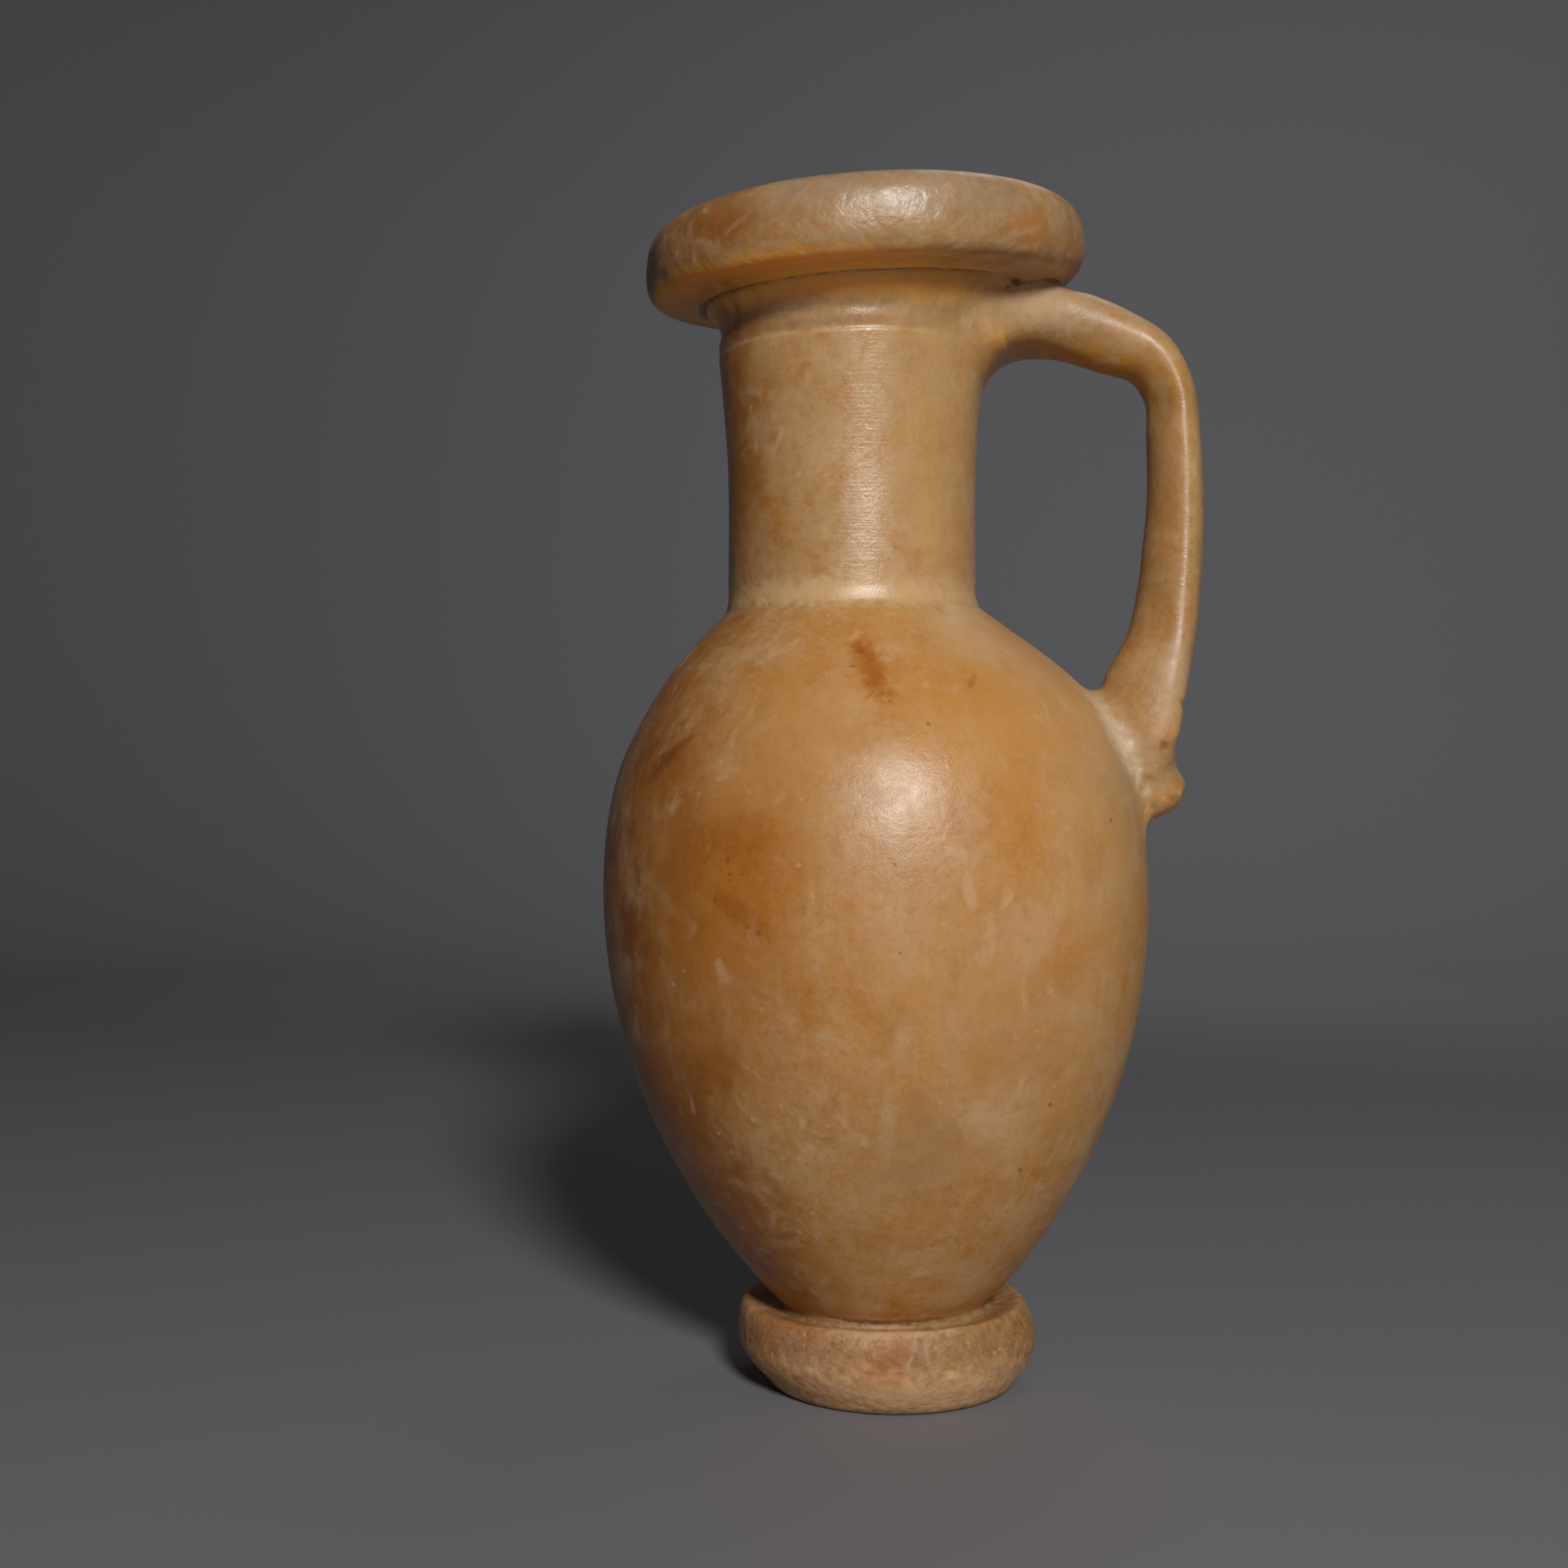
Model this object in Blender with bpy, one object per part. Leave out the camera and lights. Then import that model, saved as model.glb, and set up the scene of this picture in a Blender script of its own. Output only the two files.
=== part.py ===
"""Alabaster pitcher: one carved piece of stone, hollow, on a flanged foot.

Units are metres, +Z is up, the handle points along +X, and the origin is the
centre of the foot's flat underside. The vessel is a turned profile that leans a
little and carries a tilted lip. The handle and the nub at its lower end are
swept and round solids, joined to it by Boolean unions.
"""

import bpy
import bmesh
import numpy as np
from math import cos, pi, radians, sin

MM = 0.001

# Turning
SEGMENTS = 52                    # divides by four, so the widest points are exact

# Foot: a thick flange, flat below and almost flat on top
FOOT_BASE_RADIUS = 24.0 * MM     # edge of the flat underside
FOOT_SHIFT = 0.7 * MM            # the flange sits this far towards +X
FOOT_BASE_SHIFT = 0.8 * MM       # and its underside this much further
FOOT_WIDE_RADIUS = 31.5 * MM
FOOT_WIDE_HEIGHT = 9.3 * MM
FOOT_UNDER_BLUNTNESS = 1.4       # the rim narrows to the underside almost as a cone
FOOT_EDGE_RADIUS = 28.3 * MM     # outer edge of the flat top
FOOT_HEIGHT = 18.1 * MM

# Body: an egg with its widest point above the middle
WAIST_RADIUS = 21.4 * MM         # where the body meets the foot
WAIST_HEIGHT = 16.8 * MM
WAIST_FILLET = 0.9 * MM          # small hollow fillet out onto the foot
WAIST_SLOPE = 1.0                # radius gained for each unit of height, at the foot
WAIST_PULL = 1.5 * MM            # how far the curve follows that slope
BELLY_RADIUS = 56.8 * MM
BELLY_HEIGHT = 101.8 * MM
BELLY_PULL_DOWN = 52.0 * MM
BELLY_PULL_UP = 34.7 * MM

# Neck and collar
SHOULDER_RADIUS = 26.5 * MM      # the crease between the neck and the shoulder
SHOULDER_HEIGHT = 160.9 * MM
SHOULDER_SLOPE = 1.2
SHOULDER_PULL = 14.5 * MM
NECK_RADIUS = 25.9 * MM          # the neck's narrowest ring
NECK_HEIGHT = 180.8 * MM
NECK_TOP_RADIUS = 27.7 * MM
COLLAR_STEP_HEIGHT = 214.4 * MM
COLLAR_RADIUS = 28.3 * MM
COLLAR_TOP_HEIGHT = 219.0 * MM
CAVETTO_RADIUS = 32.8 * MM       # the hollow moulding below the lip runs out to here
CAVETTO_TOP_HEIGHT = 224.6 * MM

# Lip: a thick round bead
LIP_CENTRE_RADIUS = 37.4 * MM
LIP_CENTRE_HEIGHT = 233.5 * MM
LIP_OUTWARD = 7.75 * MM
LIP_INWARD = 6.9 * MM
LIP_UP = 8.15 * MM
LIP_DOWN = 7.4 * MM
LIP_BLUNTNESS = 2.5              # 2 is an ellipse, more is squarer
LIP_UNDER_BLUNTNESS = 3.0
LIP_THIN_BEHIND = 1.3 * MM       # the bead is this much thinner from below at the back,
                                 # and this much thicker at the front
LIP_WIDER = 0.027                # and wider by this share on the handle's side
LIP_INNER_ANGLE = 152.0          # degrees from +X, where the bead turns into the mouth

# Hollow inside: a funnel in the mouth, a bore down the neck, and the body's cavity.
# Each PULL is a Bezier handle, as (radius, height) or as a height alone.
FUNNEL_TOP_PULL = (23.5 * MM, 233.0 * MM)
FUNNEL_LOW_PULL = (17.4 * MM, 230.5 * MM)
BORE_TOP_RADIUS = 16.4 * MM
BORE_TOP_HEIGHT = 225.0 * MM
BORE_MIDDLE_HEIGHT = 196.0 * MM
BORE_RADIUS = 15.6 * MM
BORE_HEIGHT = 166.0 * MM         # lower end of the bore
CAVITY_TOP_PULL = (30.0 * MM, 147.0 * MM)
CAVITY_UPPER_PULL_HEIGHT = 134.0 * MM
CAVITY_RADIUS = 47.2 * MM
CAVITY_HEIGHT = 103.0 * MM       # where it is widest
CAVITY_LOWER_PULL_HEIGHT = 66.0 * MM
CAVITY_FLOOR_PULL = (33.0 * MM, 36.0 * MM)
CAVITY_FLOOR_RADIUS = 9.0 * MM
CAVITY_FLOOR_HEIGHT = 28.5 * MM
CAVITY_FLOOR_DIP = 1.5 * MM      # the floor's middle is this much lower

# The whole piece leans towards -X, and its rings tip down on that side
LEAN = 0.021                     # the body's shift for each unit of height
NECK_SHIFT = 3.5 * MM            # the neck stands off the body's axis by this much more
NECK_SHIFT_FROM = 137.0 * MM     # the shift grows over the top of the shoulder
LIP_SHIFT = 1.95 * MM            # the lip sits this far back towards +X
NECK_TIP = 0.026                 # height gained for each unit of +X at the neck
LIP_TIP = 0.032                  # added to it at the lip

# Handle stations along its middle line, in mm:
# x, z, half its thickness in the XZ plane, half its width along Y
HANDLE_STATIONS = (
    (15.0, 217.6, 10.2, 19.6),
    (22.0, 220.8, 8.5, 17.2),
    (29.0, 221.8, 7.5, 14.0),
    (37.0, 220.8, 7.25, 11.0),
    (46.4, 217.7, 7.0, 9.6),
    (54.9, 213.8, 6.0, 9.3),
    (59.4, 206.2, 5.3, 9.2),
    (60.3, 196.8, 5.6, 9.2),
    (60.7, 184.8, 5.9, 9.2),
    (60.1, 172.8, 6.3, 9.3),
    (59.0, 162.8, 6.7, 9.6),
    (57.3, 153.8, 7.2, 10.4),
    (54.3, 145.3, 8.4, 11.8),
    (51.4, 137.3, 9.6, 13.0),
    (50.6, 129.8, 9.2, 12.4),
    (50.0, 123.3, 7.2, 10.4),
)
HANDLE_STEPS = 2                 # rings for each stretch between two stations
HANDLE_SIDES = 18

# Nub below the handle's lower end: a round lobe, and a smaller one that carries it into the
# body, each as centre and half size in mm
NUB_LOBES = (
    ((55.0, 0.0, 125.0), (7.8, 12.0, 8.0)),
    ((51.8, 0.0, 120.5), (5.2, 12.0, 5.2)),
)

STONE_COLOUR = (0.50, 0.27, 0.11, 1.0)
SHARP_EDGE = 50.0                # degrees between faces above which an edge stays sharp


def clear_scene():
    for thing in list(bpy.data.objects):
        bpy.data.objects.remove(thing, do_unlink=True)


def stone_material():
    material = bpy.data.materials.new("alabaster")
    material.use_nodes = True
    shader = material.node_tree.nodes["Principled BSDF"]
    shader.inputs["Base Color"].default_value = STONE_COLOUR
    shader.inputs["Metallic"].default_value = 0.0
    shader.inputs["Roughness"].default_value = 0.38
    material.diffuse_color = STONE_COLOUR
    return material


def bezier(start, pull_start, pull_end, end, count):
    """Points of a cubic Bezier curve after its start, up to and with its end."""
    corners = np.array([start, pull_start, pull_end, end])
    t = (np.arange(1, count + 1) / count)[:, None]
    weights = ((1 - t) ** 3, 3 * (1 - t) ** 2 * t, 3 * (1 - t) * t ** 2, t ** 3)
    return [tuple(p) for p in sum(w * c for w, c in zip(weights, corners))]


def ellipse_arc(centre, half_sizes, from_degrees, to_degrees, count, bluntness=2.0):
    """Points along part of an ellipse, both ends included, squarer with bluntness."""
    angles = np.radians(np.linspace(from_degrees, to_degrees, count))
    across = np.sign(np.cos(angles)) * np.abs(np.cos(angles)) ** (2.0 / bluntness)
    along = np.sign(np.sin(angles)) * np.abs(np.sin(angles)) ** (2.0 / bluntness)
    return list(zip(centre[0] + half_sizes[0] * across, centre[1] + half_sizes[1] * along))


def lip_profile():
    """The bead from the mouth's edge over the top to the groove below it."""
    centre = (LIP_CENTRE_RADIUS, LIP_CENTRE_HEIGHT)
    inner = ellipse_arc(centre, (LIP_INWARD, LIP_UP), LIP_INNER_ANGLE, 108, 3)
    outer = ellipse_arc(centre, (LIP_OUTWARD, LIP_UP), 90, 0, 7, LIP_BLUNTNESS)
    under = ellipse_arc(centre, (LIP_OUTWARD, LIP_DOWN), -18, -90, 6, LIP_UNDER_BLUNTNESS)
    groove = [(CAVETTO_RADIUS + 1.4 * MM, CAVETTO_TOP_HEIGHT + 0.2 * MM),
              (CAVETTO_RADIUS + 0.3 * MM, CAVETTO_TOP_HEIGHT + 0.9 * MM)]
    return inner + outer + under + groove


def collar_profile():
    """The hollow moulding, then the collar with its carved step."""
    reach = CAVETTO_RADIUS - COLLAR_RADIUS
    rise = CAVETTO_TOP_HEIGHT - COLLAR_TOP_HEIGHT
    hollow = ellipse_arc((CAVETTO_RADIUS, COLLAR_TOP_HEIGHT), (reach, rise), 90, 180, 5)
    band = [(COLLAR_RADIUS, COLLAR_TOP_HEIGHT - 1.6 * MM),
            (COLLAR_RADIUS - 0.15 * MM, COLLAR_STEP_HEIGHT + 0.2 * MM)]
    return hollow + band


def neck_profile(rings=6):
    """The neck narrows from the step to its waist as a parabola."""
    heights = np.linspace(COLLAR_STEP_HEIGHT - 0.2 * MM, SHOULDER_HEIGHT + 2.6 * MM, rings)
    span = COLLAR_STEP_HEIGHT - NECK_HEIGHT
    flare = NECK_TOP_RADIUS - NECK_RADIUS
    return [(NECK_RADIUS + flare * (max(z - NECK_HEIGHT, 0.0) / span) ** 2, z) for z in heights]


def body_profile():
    """Shoulder to belly and belly to waist, a Bezier curve each."""
    shoulder = (SHOULDER_RADIUS, SHOULDER_HEIGHT)
    belly = (BELLY_RADIUS, BELLY_HEIGHT)
    waist = (WAIST_RADIUS, WAIST_HEIGHT)
    shoulder_pull = (SHOULDER_RADIUS + SHOULDER_SLOPE * SHOULDER_PULL,
                     SHOULDER_HEIGHT - SHOULDER_PULL)
    waist_pull = (WAIST_RADIUS + WAIST_SLOPE * WAIST_PULL, WAIST_HEIGHT + WAIST_PULL)
    upper = bezier(shoulder, shoulder_pull, (BELLY_RADIUS, BELLY_HEIGHT + BELLY_PULL_UP),
                   belly, 9)
    lower = bezier(belly, (BELLY_RADIUS, BELLY_HEIGHT - BELLY_PULL_DOWN), waist_pull, waist, 10)
    return [shoulder] + upper + lower


def foot_profile():
    """The flange's top, its rounded rim and its flat underside, to the axis."""
    fillet = [(WAIST_RADIUS + WAIST_FILLET, WAIST_HEIGHT - 0.4 * MM)]
    rim_top = ellipse_arc((FOOT_EDGE_RADIUS, FOOT_WIDE_HEIGHT),
                          (FOOT_WIDE_RADIUS - FOOT_EDGE_RADIUS, FOOT_HEIGHT - FOOT_WIDE_HEIGHT),
                          90, 0, 4)
    rim_under = ellipse_arc((FOOT_BASE_RADIUS, FOOT_WIDE_HEIGHT),
                            (FOOT_WIDE_RADIUS - FOOT_BASE_RADIUS, FOOT_WIDE_HEIGHT),
                            -22, -90, 4, FOOT_UNDER_BLUNTNESS)
    return fillet + rim_top + rim_under + [(0.0, 0.0)]


def hollow_profile():
    """The inside from the axis at the floor up to the mouth."""
    floor = (CAVITY_FLOOR_RADIUS, CAVITY_FLOOR_HEIGHT)
    widest = (CAVITY_RADIUS, CAVITY_HEIGHT)
    bore = (BORE_RADIUS, BORE_HEIGHT)
    bore_top = (BORE_TOP_RADIUS, BORE_TOP_HEIGHT)
    lower = bezier(floor, CAVITY_FLOOR_PULL, (CAVITY_RADIUS, CAVITY_LOWER_PULL_HEIGHT), widest, 7)
    upper = bezier(widest, (CAVITY_RADIUS, CAVITY_UPPER_PULL_HEIGHT), CAVITY_TOP_PULL, bore, 7)
    mouth_edge = lip_profile()[0]
    funnel = bezier(bore_top, FUNNEL_LOW_PULL, FUNNEL_TOP_PULL, mouth_edge, 4)
    return ([(0.0, CAVITY_FLOOR_HEIGHT - CAVITY_FLOOR_DIP), floor] + lower + upper
            + [(BORE_RADIUS, BORE_MIDDLE_HEIGHT), bore_top] + funnel[:-1])


def eased(value, low, high):
    """0 below low and 1 above high, with a smooth step between."""
    t = np.clip((value - low) / (high - low), 0.0, 1.0)
    return t * t * (3.0 - 2.0 * t)


def lean_and_tip(points):
    """Shifts each ring towards -X with height and tips the upper rings down there."""
    x, y, z = points.T
    lip = eased(z, COLLAR_STEP_HEIGHT, CAVETTO_TOP_HEIGHT)
    neck = eased(z, NECK_SHIFT_FROM, SHOULDER_HEIGHT + 2.0 * MM)
    foot = 1.0 - eased(z, FOOT_WIDE_HEIGHT, FOOT_HEIGHT)
    base = 1.0 - eased(z, 0.0, FOOT_WIDE_HEIGHT)
    shift = (FOOT_SHIFT * foot + FOOT_BASE_SHIFT * base - LEAN * np.minimum(z, SHOULDER_HEIGHT)
             - NECK_SHIFT * neck + LIP_SHIFT * lip + LIP_WIDER * lip * np.maximum(x, 0.0))
    tip = NECK_TIP * eased(z, WAIST_HEIGHT, SHOULDER_HEIGHT) + LIP_TIP * lip
    under = lip * (1.0 - eased(z, CAVETTO_TOP_HEIGHT + 2.0 * MM, LIP_CENTRE_HEIGHT))
    lift = LIP_THIN_BEHIND * under * y / LIP_CENTRE_RADIUS
    return np.column_stack([x + shift, y, z + tip * x + lift])


def finish_mesh(name, bm, material):
    """Puts the bmesh into a new object with smooth faces and faces pointing out."""
    bmesh.ops.recalc_face_normals(bm, faces=bm.faces)
    mesh = bpy.data.meshes.new(name)
    bm.to_mesh(mesh)
    bm.free()
    mesh.shade_smooth()
    mesh.set_sharp_from_angle(angle=radians(SHARP_EDGE))
    mesh.materials.append(material)
    thing = bpy.data.objects.new(name, mesh)
    bpy.context.scene.collection.objects.link(thing)
    return thing


def make_vessel(material):
    """Turns the closed profile round the Z axis, then leans it."""
    outline = (lip_profile() + collar_profile() + neck_profile() + body_profile()
               + foot_profile() + hollow_profile())
    bm = bmesh.new()
    verts = [bm.verts.new((r, 0.0, z)) for r, z in outline]
    ends_on_axis = [i for i, (r, _) in enumerate(outline) if r == 0.0]
    edges = [bm.edges.new((verts[i], verts[(i + 1) % len(verts)])) for i in range(len(verts))
             if not {i, (i + 1) % len(verts)} <= set(ends_on_axis)]
    bmesh.ops.spin(bm, geom=verts + edges, cent=(0, 0, 0), axis=(0, 0, 1), dvec=(0, 0, 0),
                   angle=2 * pi, steps=SEGMENTS, use_merge=True, use_duplicate=False)
    bmesh.ops.remove_doubles(bm, verts=bm.verts, dist=1e-6)
    moved = lean_and_tip(np.array([v.co for v in bm.verts]))
    for vert, place in zip(bm.verts, moved):
        vert.co = place
    return finish_mesh("pitcher", bm, material)


def smooth_stations():
    """Catmull-Rom curve through the stations, as rows of x, z, thickness, width."""
    rows = np.array(HANDLE_STATIONS) * MM
    padded = np.vstack([2 * rows[0] - rows[1], rows, 2 * rows[-1] - rows[-2]])
    out = []
    for i in range(len(rows) - 1):
        a, b, c, d = padded[i:i + 4]
        for t in np.arange(HANDLE_STEPS) / HANDLE_STEPS:
            out.append(0.5 * (2 * b + (c - a) * t + (2 * a - 5 * b + 4 * c - d) * t ** 2
                              + (3 * b - a - 3 * c + d) * t ** 3))
    out.append(rows[-1])
    return np.array(out)


def make_handle(material):
    """An oval section carried along the stations, square to the path."""
    rows = smooth_stations()
    along = np.gradient(rows[:, :2], axis=0)
    along /= np.linalg.norm(along, axis=1)[:, None]
    bm = bmesh.new()
    loops = []
    for (x, z, thick, wide), (tx, tz) in zip(rows, along):
        ring = []
        for k in range(HANDLE_SIDES):
            a = 2 * pi * k / HANDLE_SIDES
            out = thick * cos(a)
            ring.append(bm.verts.new((x - tz * out, wide * sin(a), z + tx * out)))
        loops.append([bm.edges.new((ring[k - 1], ring[k])) for k in range(HANDLE_SIDES)])
    for first, second in zip(loops, loops[1:]):
        bmesh.ops.bridge_loops(bm, edges=first + second)
    for end in (loops[0], loops[-1]):
        bmesh.ops.contextual_create(bm, geom=end)
    return finish_mesh("handle_form", bm, material)


def make_lobe(name, centre, half_size, material):
    """An ellipsoid by its centre and half sizes in mm."""
    bm = bmesh.new()
    bmesh.ops.create_uvsphere(bm, u_segments=20, v_segments=12, radius=1.0)
    bmesh.ops.scale(bm, verts=bm.verts, vec=np.array(half_size) * MM)
    bmesh.ops.translate(bm, verts=bm.verts, vec=np.array(centre) * MM)
    return finish_mesh(name, bm, material)


def join_to(vessel, form):
    """Unites a form with the vessel and keeps the form as a hidden guide."""
    form.hide_render = True
    form.display_type = "WIRE"
    union = vessel.modifiers.new(form.name, "BOOLEAN")
    union.operation = "UNION"
    union.solver = "EXACT"
    union.object = form


def main():
    clear_scene()
    stone = stone_material()
    vessel = make_vessel(stone)
    join_to(vessel, make_handle(stone))
    for number, (centre, half_size) in enumerate(NUB_LOBES, 1):
        join_to(vessel, make_lobe(f"nub_form_{number}", centre, half_size, stone))


main()
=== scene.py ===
from math import cos, pi, radians, sin

import bmesh
import bpy
import numpy as np
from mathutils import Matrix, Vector


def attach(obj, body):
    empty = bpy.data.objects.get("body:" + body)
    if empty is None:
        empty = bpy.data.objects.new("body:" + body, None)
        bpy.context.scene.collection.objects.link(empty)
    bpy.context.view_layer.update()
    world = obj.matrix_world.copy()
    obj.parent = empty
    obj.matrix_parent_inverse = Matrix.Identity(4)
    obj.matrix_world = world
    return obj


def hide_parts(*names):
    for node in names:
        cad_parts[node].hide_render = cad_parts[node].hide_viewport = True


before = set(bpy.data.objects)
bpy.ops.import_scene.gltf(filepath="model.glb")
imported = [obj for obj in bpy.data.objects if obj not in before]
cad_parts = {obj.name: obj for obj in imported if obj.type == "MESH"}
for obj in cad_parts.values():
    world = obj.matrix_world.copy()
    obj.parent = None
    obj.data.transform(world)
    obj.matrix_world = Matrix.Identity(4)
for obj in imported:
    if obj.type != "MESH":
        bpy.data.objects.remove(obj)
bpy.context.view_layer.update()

mm = 0.001            # every length below is in millimetres


# Cubic Bezier: each of the four corners weighted by its Bernstein polynomial.
def bezierCurve(start, pullStart, pullEnd, end, count=200):
    t = np.linspace(0.0, 1.0, count)[:, None]
    corners = [np.array(c, float) for c in (start, pullStart, pullEnd, end)]
    weights = ((1 - t) ** 3, 3 * (1 - t) ** 2 * t, 3 * (1 - t) * t ** 2, t ** 3)
    return sum(w * c for w, c in zip(weights, corners))


# Superellipse arc: centre plus the half sizes times |cos| and |sin| to the power 2 / bluntness.
def roundArc(centre, halfSizes, fromDegrees, toDegrees, bluntness=2.0, count=160):
    a = np.radians(np.linspace(fromDegrees, toDegrees, count))
    across = np.sign(np.cos(a)) * np.abs(np.cos(a)) ** (2.0 / bluntness)
    along = np.sign(np.sin(a)) * np.abs(np.sin(a)) ** (2.0 / bluntness)
    return np.column_stack([centre[0] + halfSizes[0] * across, centre[1] + halfSizes[1] * along])


# Smooth step: 3t^2 - 2t^3 between low and high, 0 below and 1 above.
def eased(value, low, high):
    t = np.clip((value - low) / (high - low), 0.0, 1.0)
    return t * t * (3.0 - 2.0 * t)


# Bell: e to the minus squared distance over twice the squared width.
def bell(distance, width):
    return np.exp(-0.5 * (distance / width) ** 2)


# Value noise: random lattice values blended by smooth steps along x, y and z, from -1 to 1.
def stoneNoise(points, size, seed, cells=32):
    lattice = np.random.default_rng(seed).uniform(-1.0, 1.0, (cells, cells, cells))
    place = points / size + 100.0   # well away from zero; the lattice repeats after so many cells
    cell = np.floor(place).astype(int)
    f = place - cell
    f = f * f * (3.0 - 2.0 * f)
    total = 0.0
    for corner in np.ndindex(2, 2, 2):
        weight = np.where(corner, f, 1.0 - f).prod(axis=-1)
        x, y, z = np.moveaxis((cell + corner) % cells, -1, 0)
        total = total + weight * lattice[x, y, z]
    return total


# Layered noise: each layer half the size and half the strength of the one before.
def roughNoise(points, size, seed, layers=3):
    total = sum(stoneNoise(points, size / 2 ** i, seed + i) / 2 ** i for i in range(layers))
    return total / sum(0.5 ** i for i in range(layers))


# Triangles of a grid of rings and sides that closes round, with a fan to a pole at each end.
def gridTriangles(rings, sides):
    row = np.arange(rings - 1)[:, None] * sides
    here = np.arange(sides)[None, :]
    after = (here + 1) % sides
    a, b, c, d = row + here, row + after, row + sides + after, row + sides + here
    body = np.concatenate([np.stack(corners, -1).reshape(-1, 3) for corners in ((a, b, c), (a, c, d))])
    firstPole, lastPole = rings * sides, rings * sides + 1
    here, after = here[0], after[0]
    top = (rings - 1) * sides
    firstFan = np.stack([np.full(sides, firstPole), after, here], -1)
    lastFan = np.stack([np.full(sides, lastPole), top + here, top + after], -1)
    return np.concatenate([body, firstFan, lastFan])


# Unit normals: the area-weighted mean of the triangles round each point.
def pointNormals(points, triangles):
    a, b, c = points[triangles[:, 0]], points[triangles[:, 1]], points[triangles[:, 2]]
    flat = np.cross(b - a, c - a)
    total = np.zeros_like(points)
    for corner in range(3):
        for axis in range(3):
            total[:, axis] += np.bincount(triangles[:, corner], flat[:, axis], len(points))
    return total / np.maximum(np.linalg.norm(total, axis=1), 1e-12)[:, None]


# Volume: a sixth of the sum of the triple products, positive when the faces point outwards.
def meshVolume(points, triangles):
    return np.linalg.det(points[triangles]).sum() / 6.0


# A mesh object from points in millimetres and triangles, turned so that its faces point outwards.
def stoneObject(name, points, triangles, material=None):
    if meshVolume(points, triangles) < 0:
        triangles = triangles[:, ::-1]
    mesh = bpy.data.meshes.new(name)
    mesh.vertices.add(len(points))
    mesh.vertices.foreach_set("co", (points * mm).astype(np.float32).ravel())
    mesh.loops.add(3 * len(triangles))
    mesh.loops.foreach_set("vertex_index", triangles.astype(np.int32).ravel())
    mesh.polygons.add(len(triangles))
    mesh.polygons.foreach_set("loop_start", np.arange(0, 3 * len(triangles), 3, dtype=np.int32))
    mesh.update(calc_edges=True)
    mesh.validate()
    mesh.materials.append(material or bpy.data.materials.new(name))
    mesh.shade_smooth()
    thing = bpy.data.objects.new(name, mesh)
    bpy.context.scene.collection.objects.link(thing)
    return thing


vessel = dict(
    sides=252,
    footBase=24.0, footWide=31.5, footWideHeight=9.3, footEdge=28.3, footHeight=18.1,
    footTopBlunt=2.1, footUnderBlunt=1.4,
    footShift=0.7, footBaseShift=0.8,
    waist=21.4, waistHeight=16.7, waistFillet=0.9, waistDrop=0.4, waistPull=1.5,
    belly=56.8, bellyHeight=101.8, bellyPullDown=52.0, bellyPullUp=34.7,
    shoulder=26.5, shoulderHeight=160.9, shoulderSlope=1.2, shoulderPull=14.5,
    neck=25.9, neckHeight=180.8, neckTop=28.05, neckFoot=2.6,
    stepHeight=214.4, stepIn=0.5, stepHalf=0.2, collar=28.3, collarTop=219.0, collarIn=0.05, collarBand=2.2,
    cavetto=32.8, cavettoTop=224.6, cavettoHollow=1.25,
    grooveEnd=(1.4, 0.2), grooveStart=(0.3, 0.9),   # how far out from the cavetto's top, and above it
    lipRadius=37.4, lipHeight=233.5, lipOut=7.75, lipIn=6.9, lipUp=8.15, lipDown=7.4,
    lipBlunt=2.5, lipUnderBlunt=3.0, lipThinBehind=1.3, lipWider=0.027, lipInnerAngle=152.0,
    boreTop=16.4, boreTopHeight=225.0, funnelPull=(17.4, 230.5), mouthPull=(23.5, 233.0),
    bore=15.6, boreHeight=166.0, borePull=(30.0, 147.0),
    cavity=47.2, cavityHeight=103.0, cavityPullDown=37.0, cavityPullUp=31.0,
    floorRadius=9.0, floorHeight=28.5, floorDip=1.5, floorPull=(33.0, 36.0),
    lean=0.021, neckShift=3.5, neckShiftFrom=137.0, lipShift=1.95, shiftEase=2.0,
    neckTip=0.026, lipTip=0.032,
    unevenness=0.45, slowSize=34.0, slowShare=0.72, quickSize=12.0, quickShare=0.28,   # the carver's hand
    lineDepth=0.14, lineWidth=0.24, lineSteady=0.65, lineVaried=0.35, lineGrain=4.0,   # below the collar
    lineWander=0.22, lineWaves=((0.5, 2, 0.6), (0.3, 5, 2.1), (0.2, 11, 0.0)),   # share, waves, start
    lineRadii=(26.0, 30.0), lineEnds=(0.45, 0.75), lineEndFade=0.8,   # it fades out towards the handle
    grooveDepth=0.7, grooveWidth=0.75, grooveHeart=(0.6, 0.9), grooveGrain=5.0,   # below the bead
    footRoughness=0.55, footGrain=5.5, footTopFade=(17.0, 21.0), footBaseFade=(0.2, 3.0),
    baseFade=(0.3, 3.0),   # the underside stays flat below these heights
    # the outline's points: above and up to these heights, within this radius, and how far apart
    spacingOutside=1.75, spacingInside=5.5, spacingMouth=1.1, mouthFrom=226.0,
    spacings=((208.0, 250.0, 60.0, 0.70), (163.5, 208.0, 60.0, 1.45), (213.0, 215.6, 60.0, 0.20),
              (224.3, 226.3, 36.5, 0.30), (158.0, 165.0, 60.0, 0.70), (-1.0, 24.0, 60.0, 0.80),
              (-1.0, 0.3, 60.0, 2.50)),
)


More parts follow.
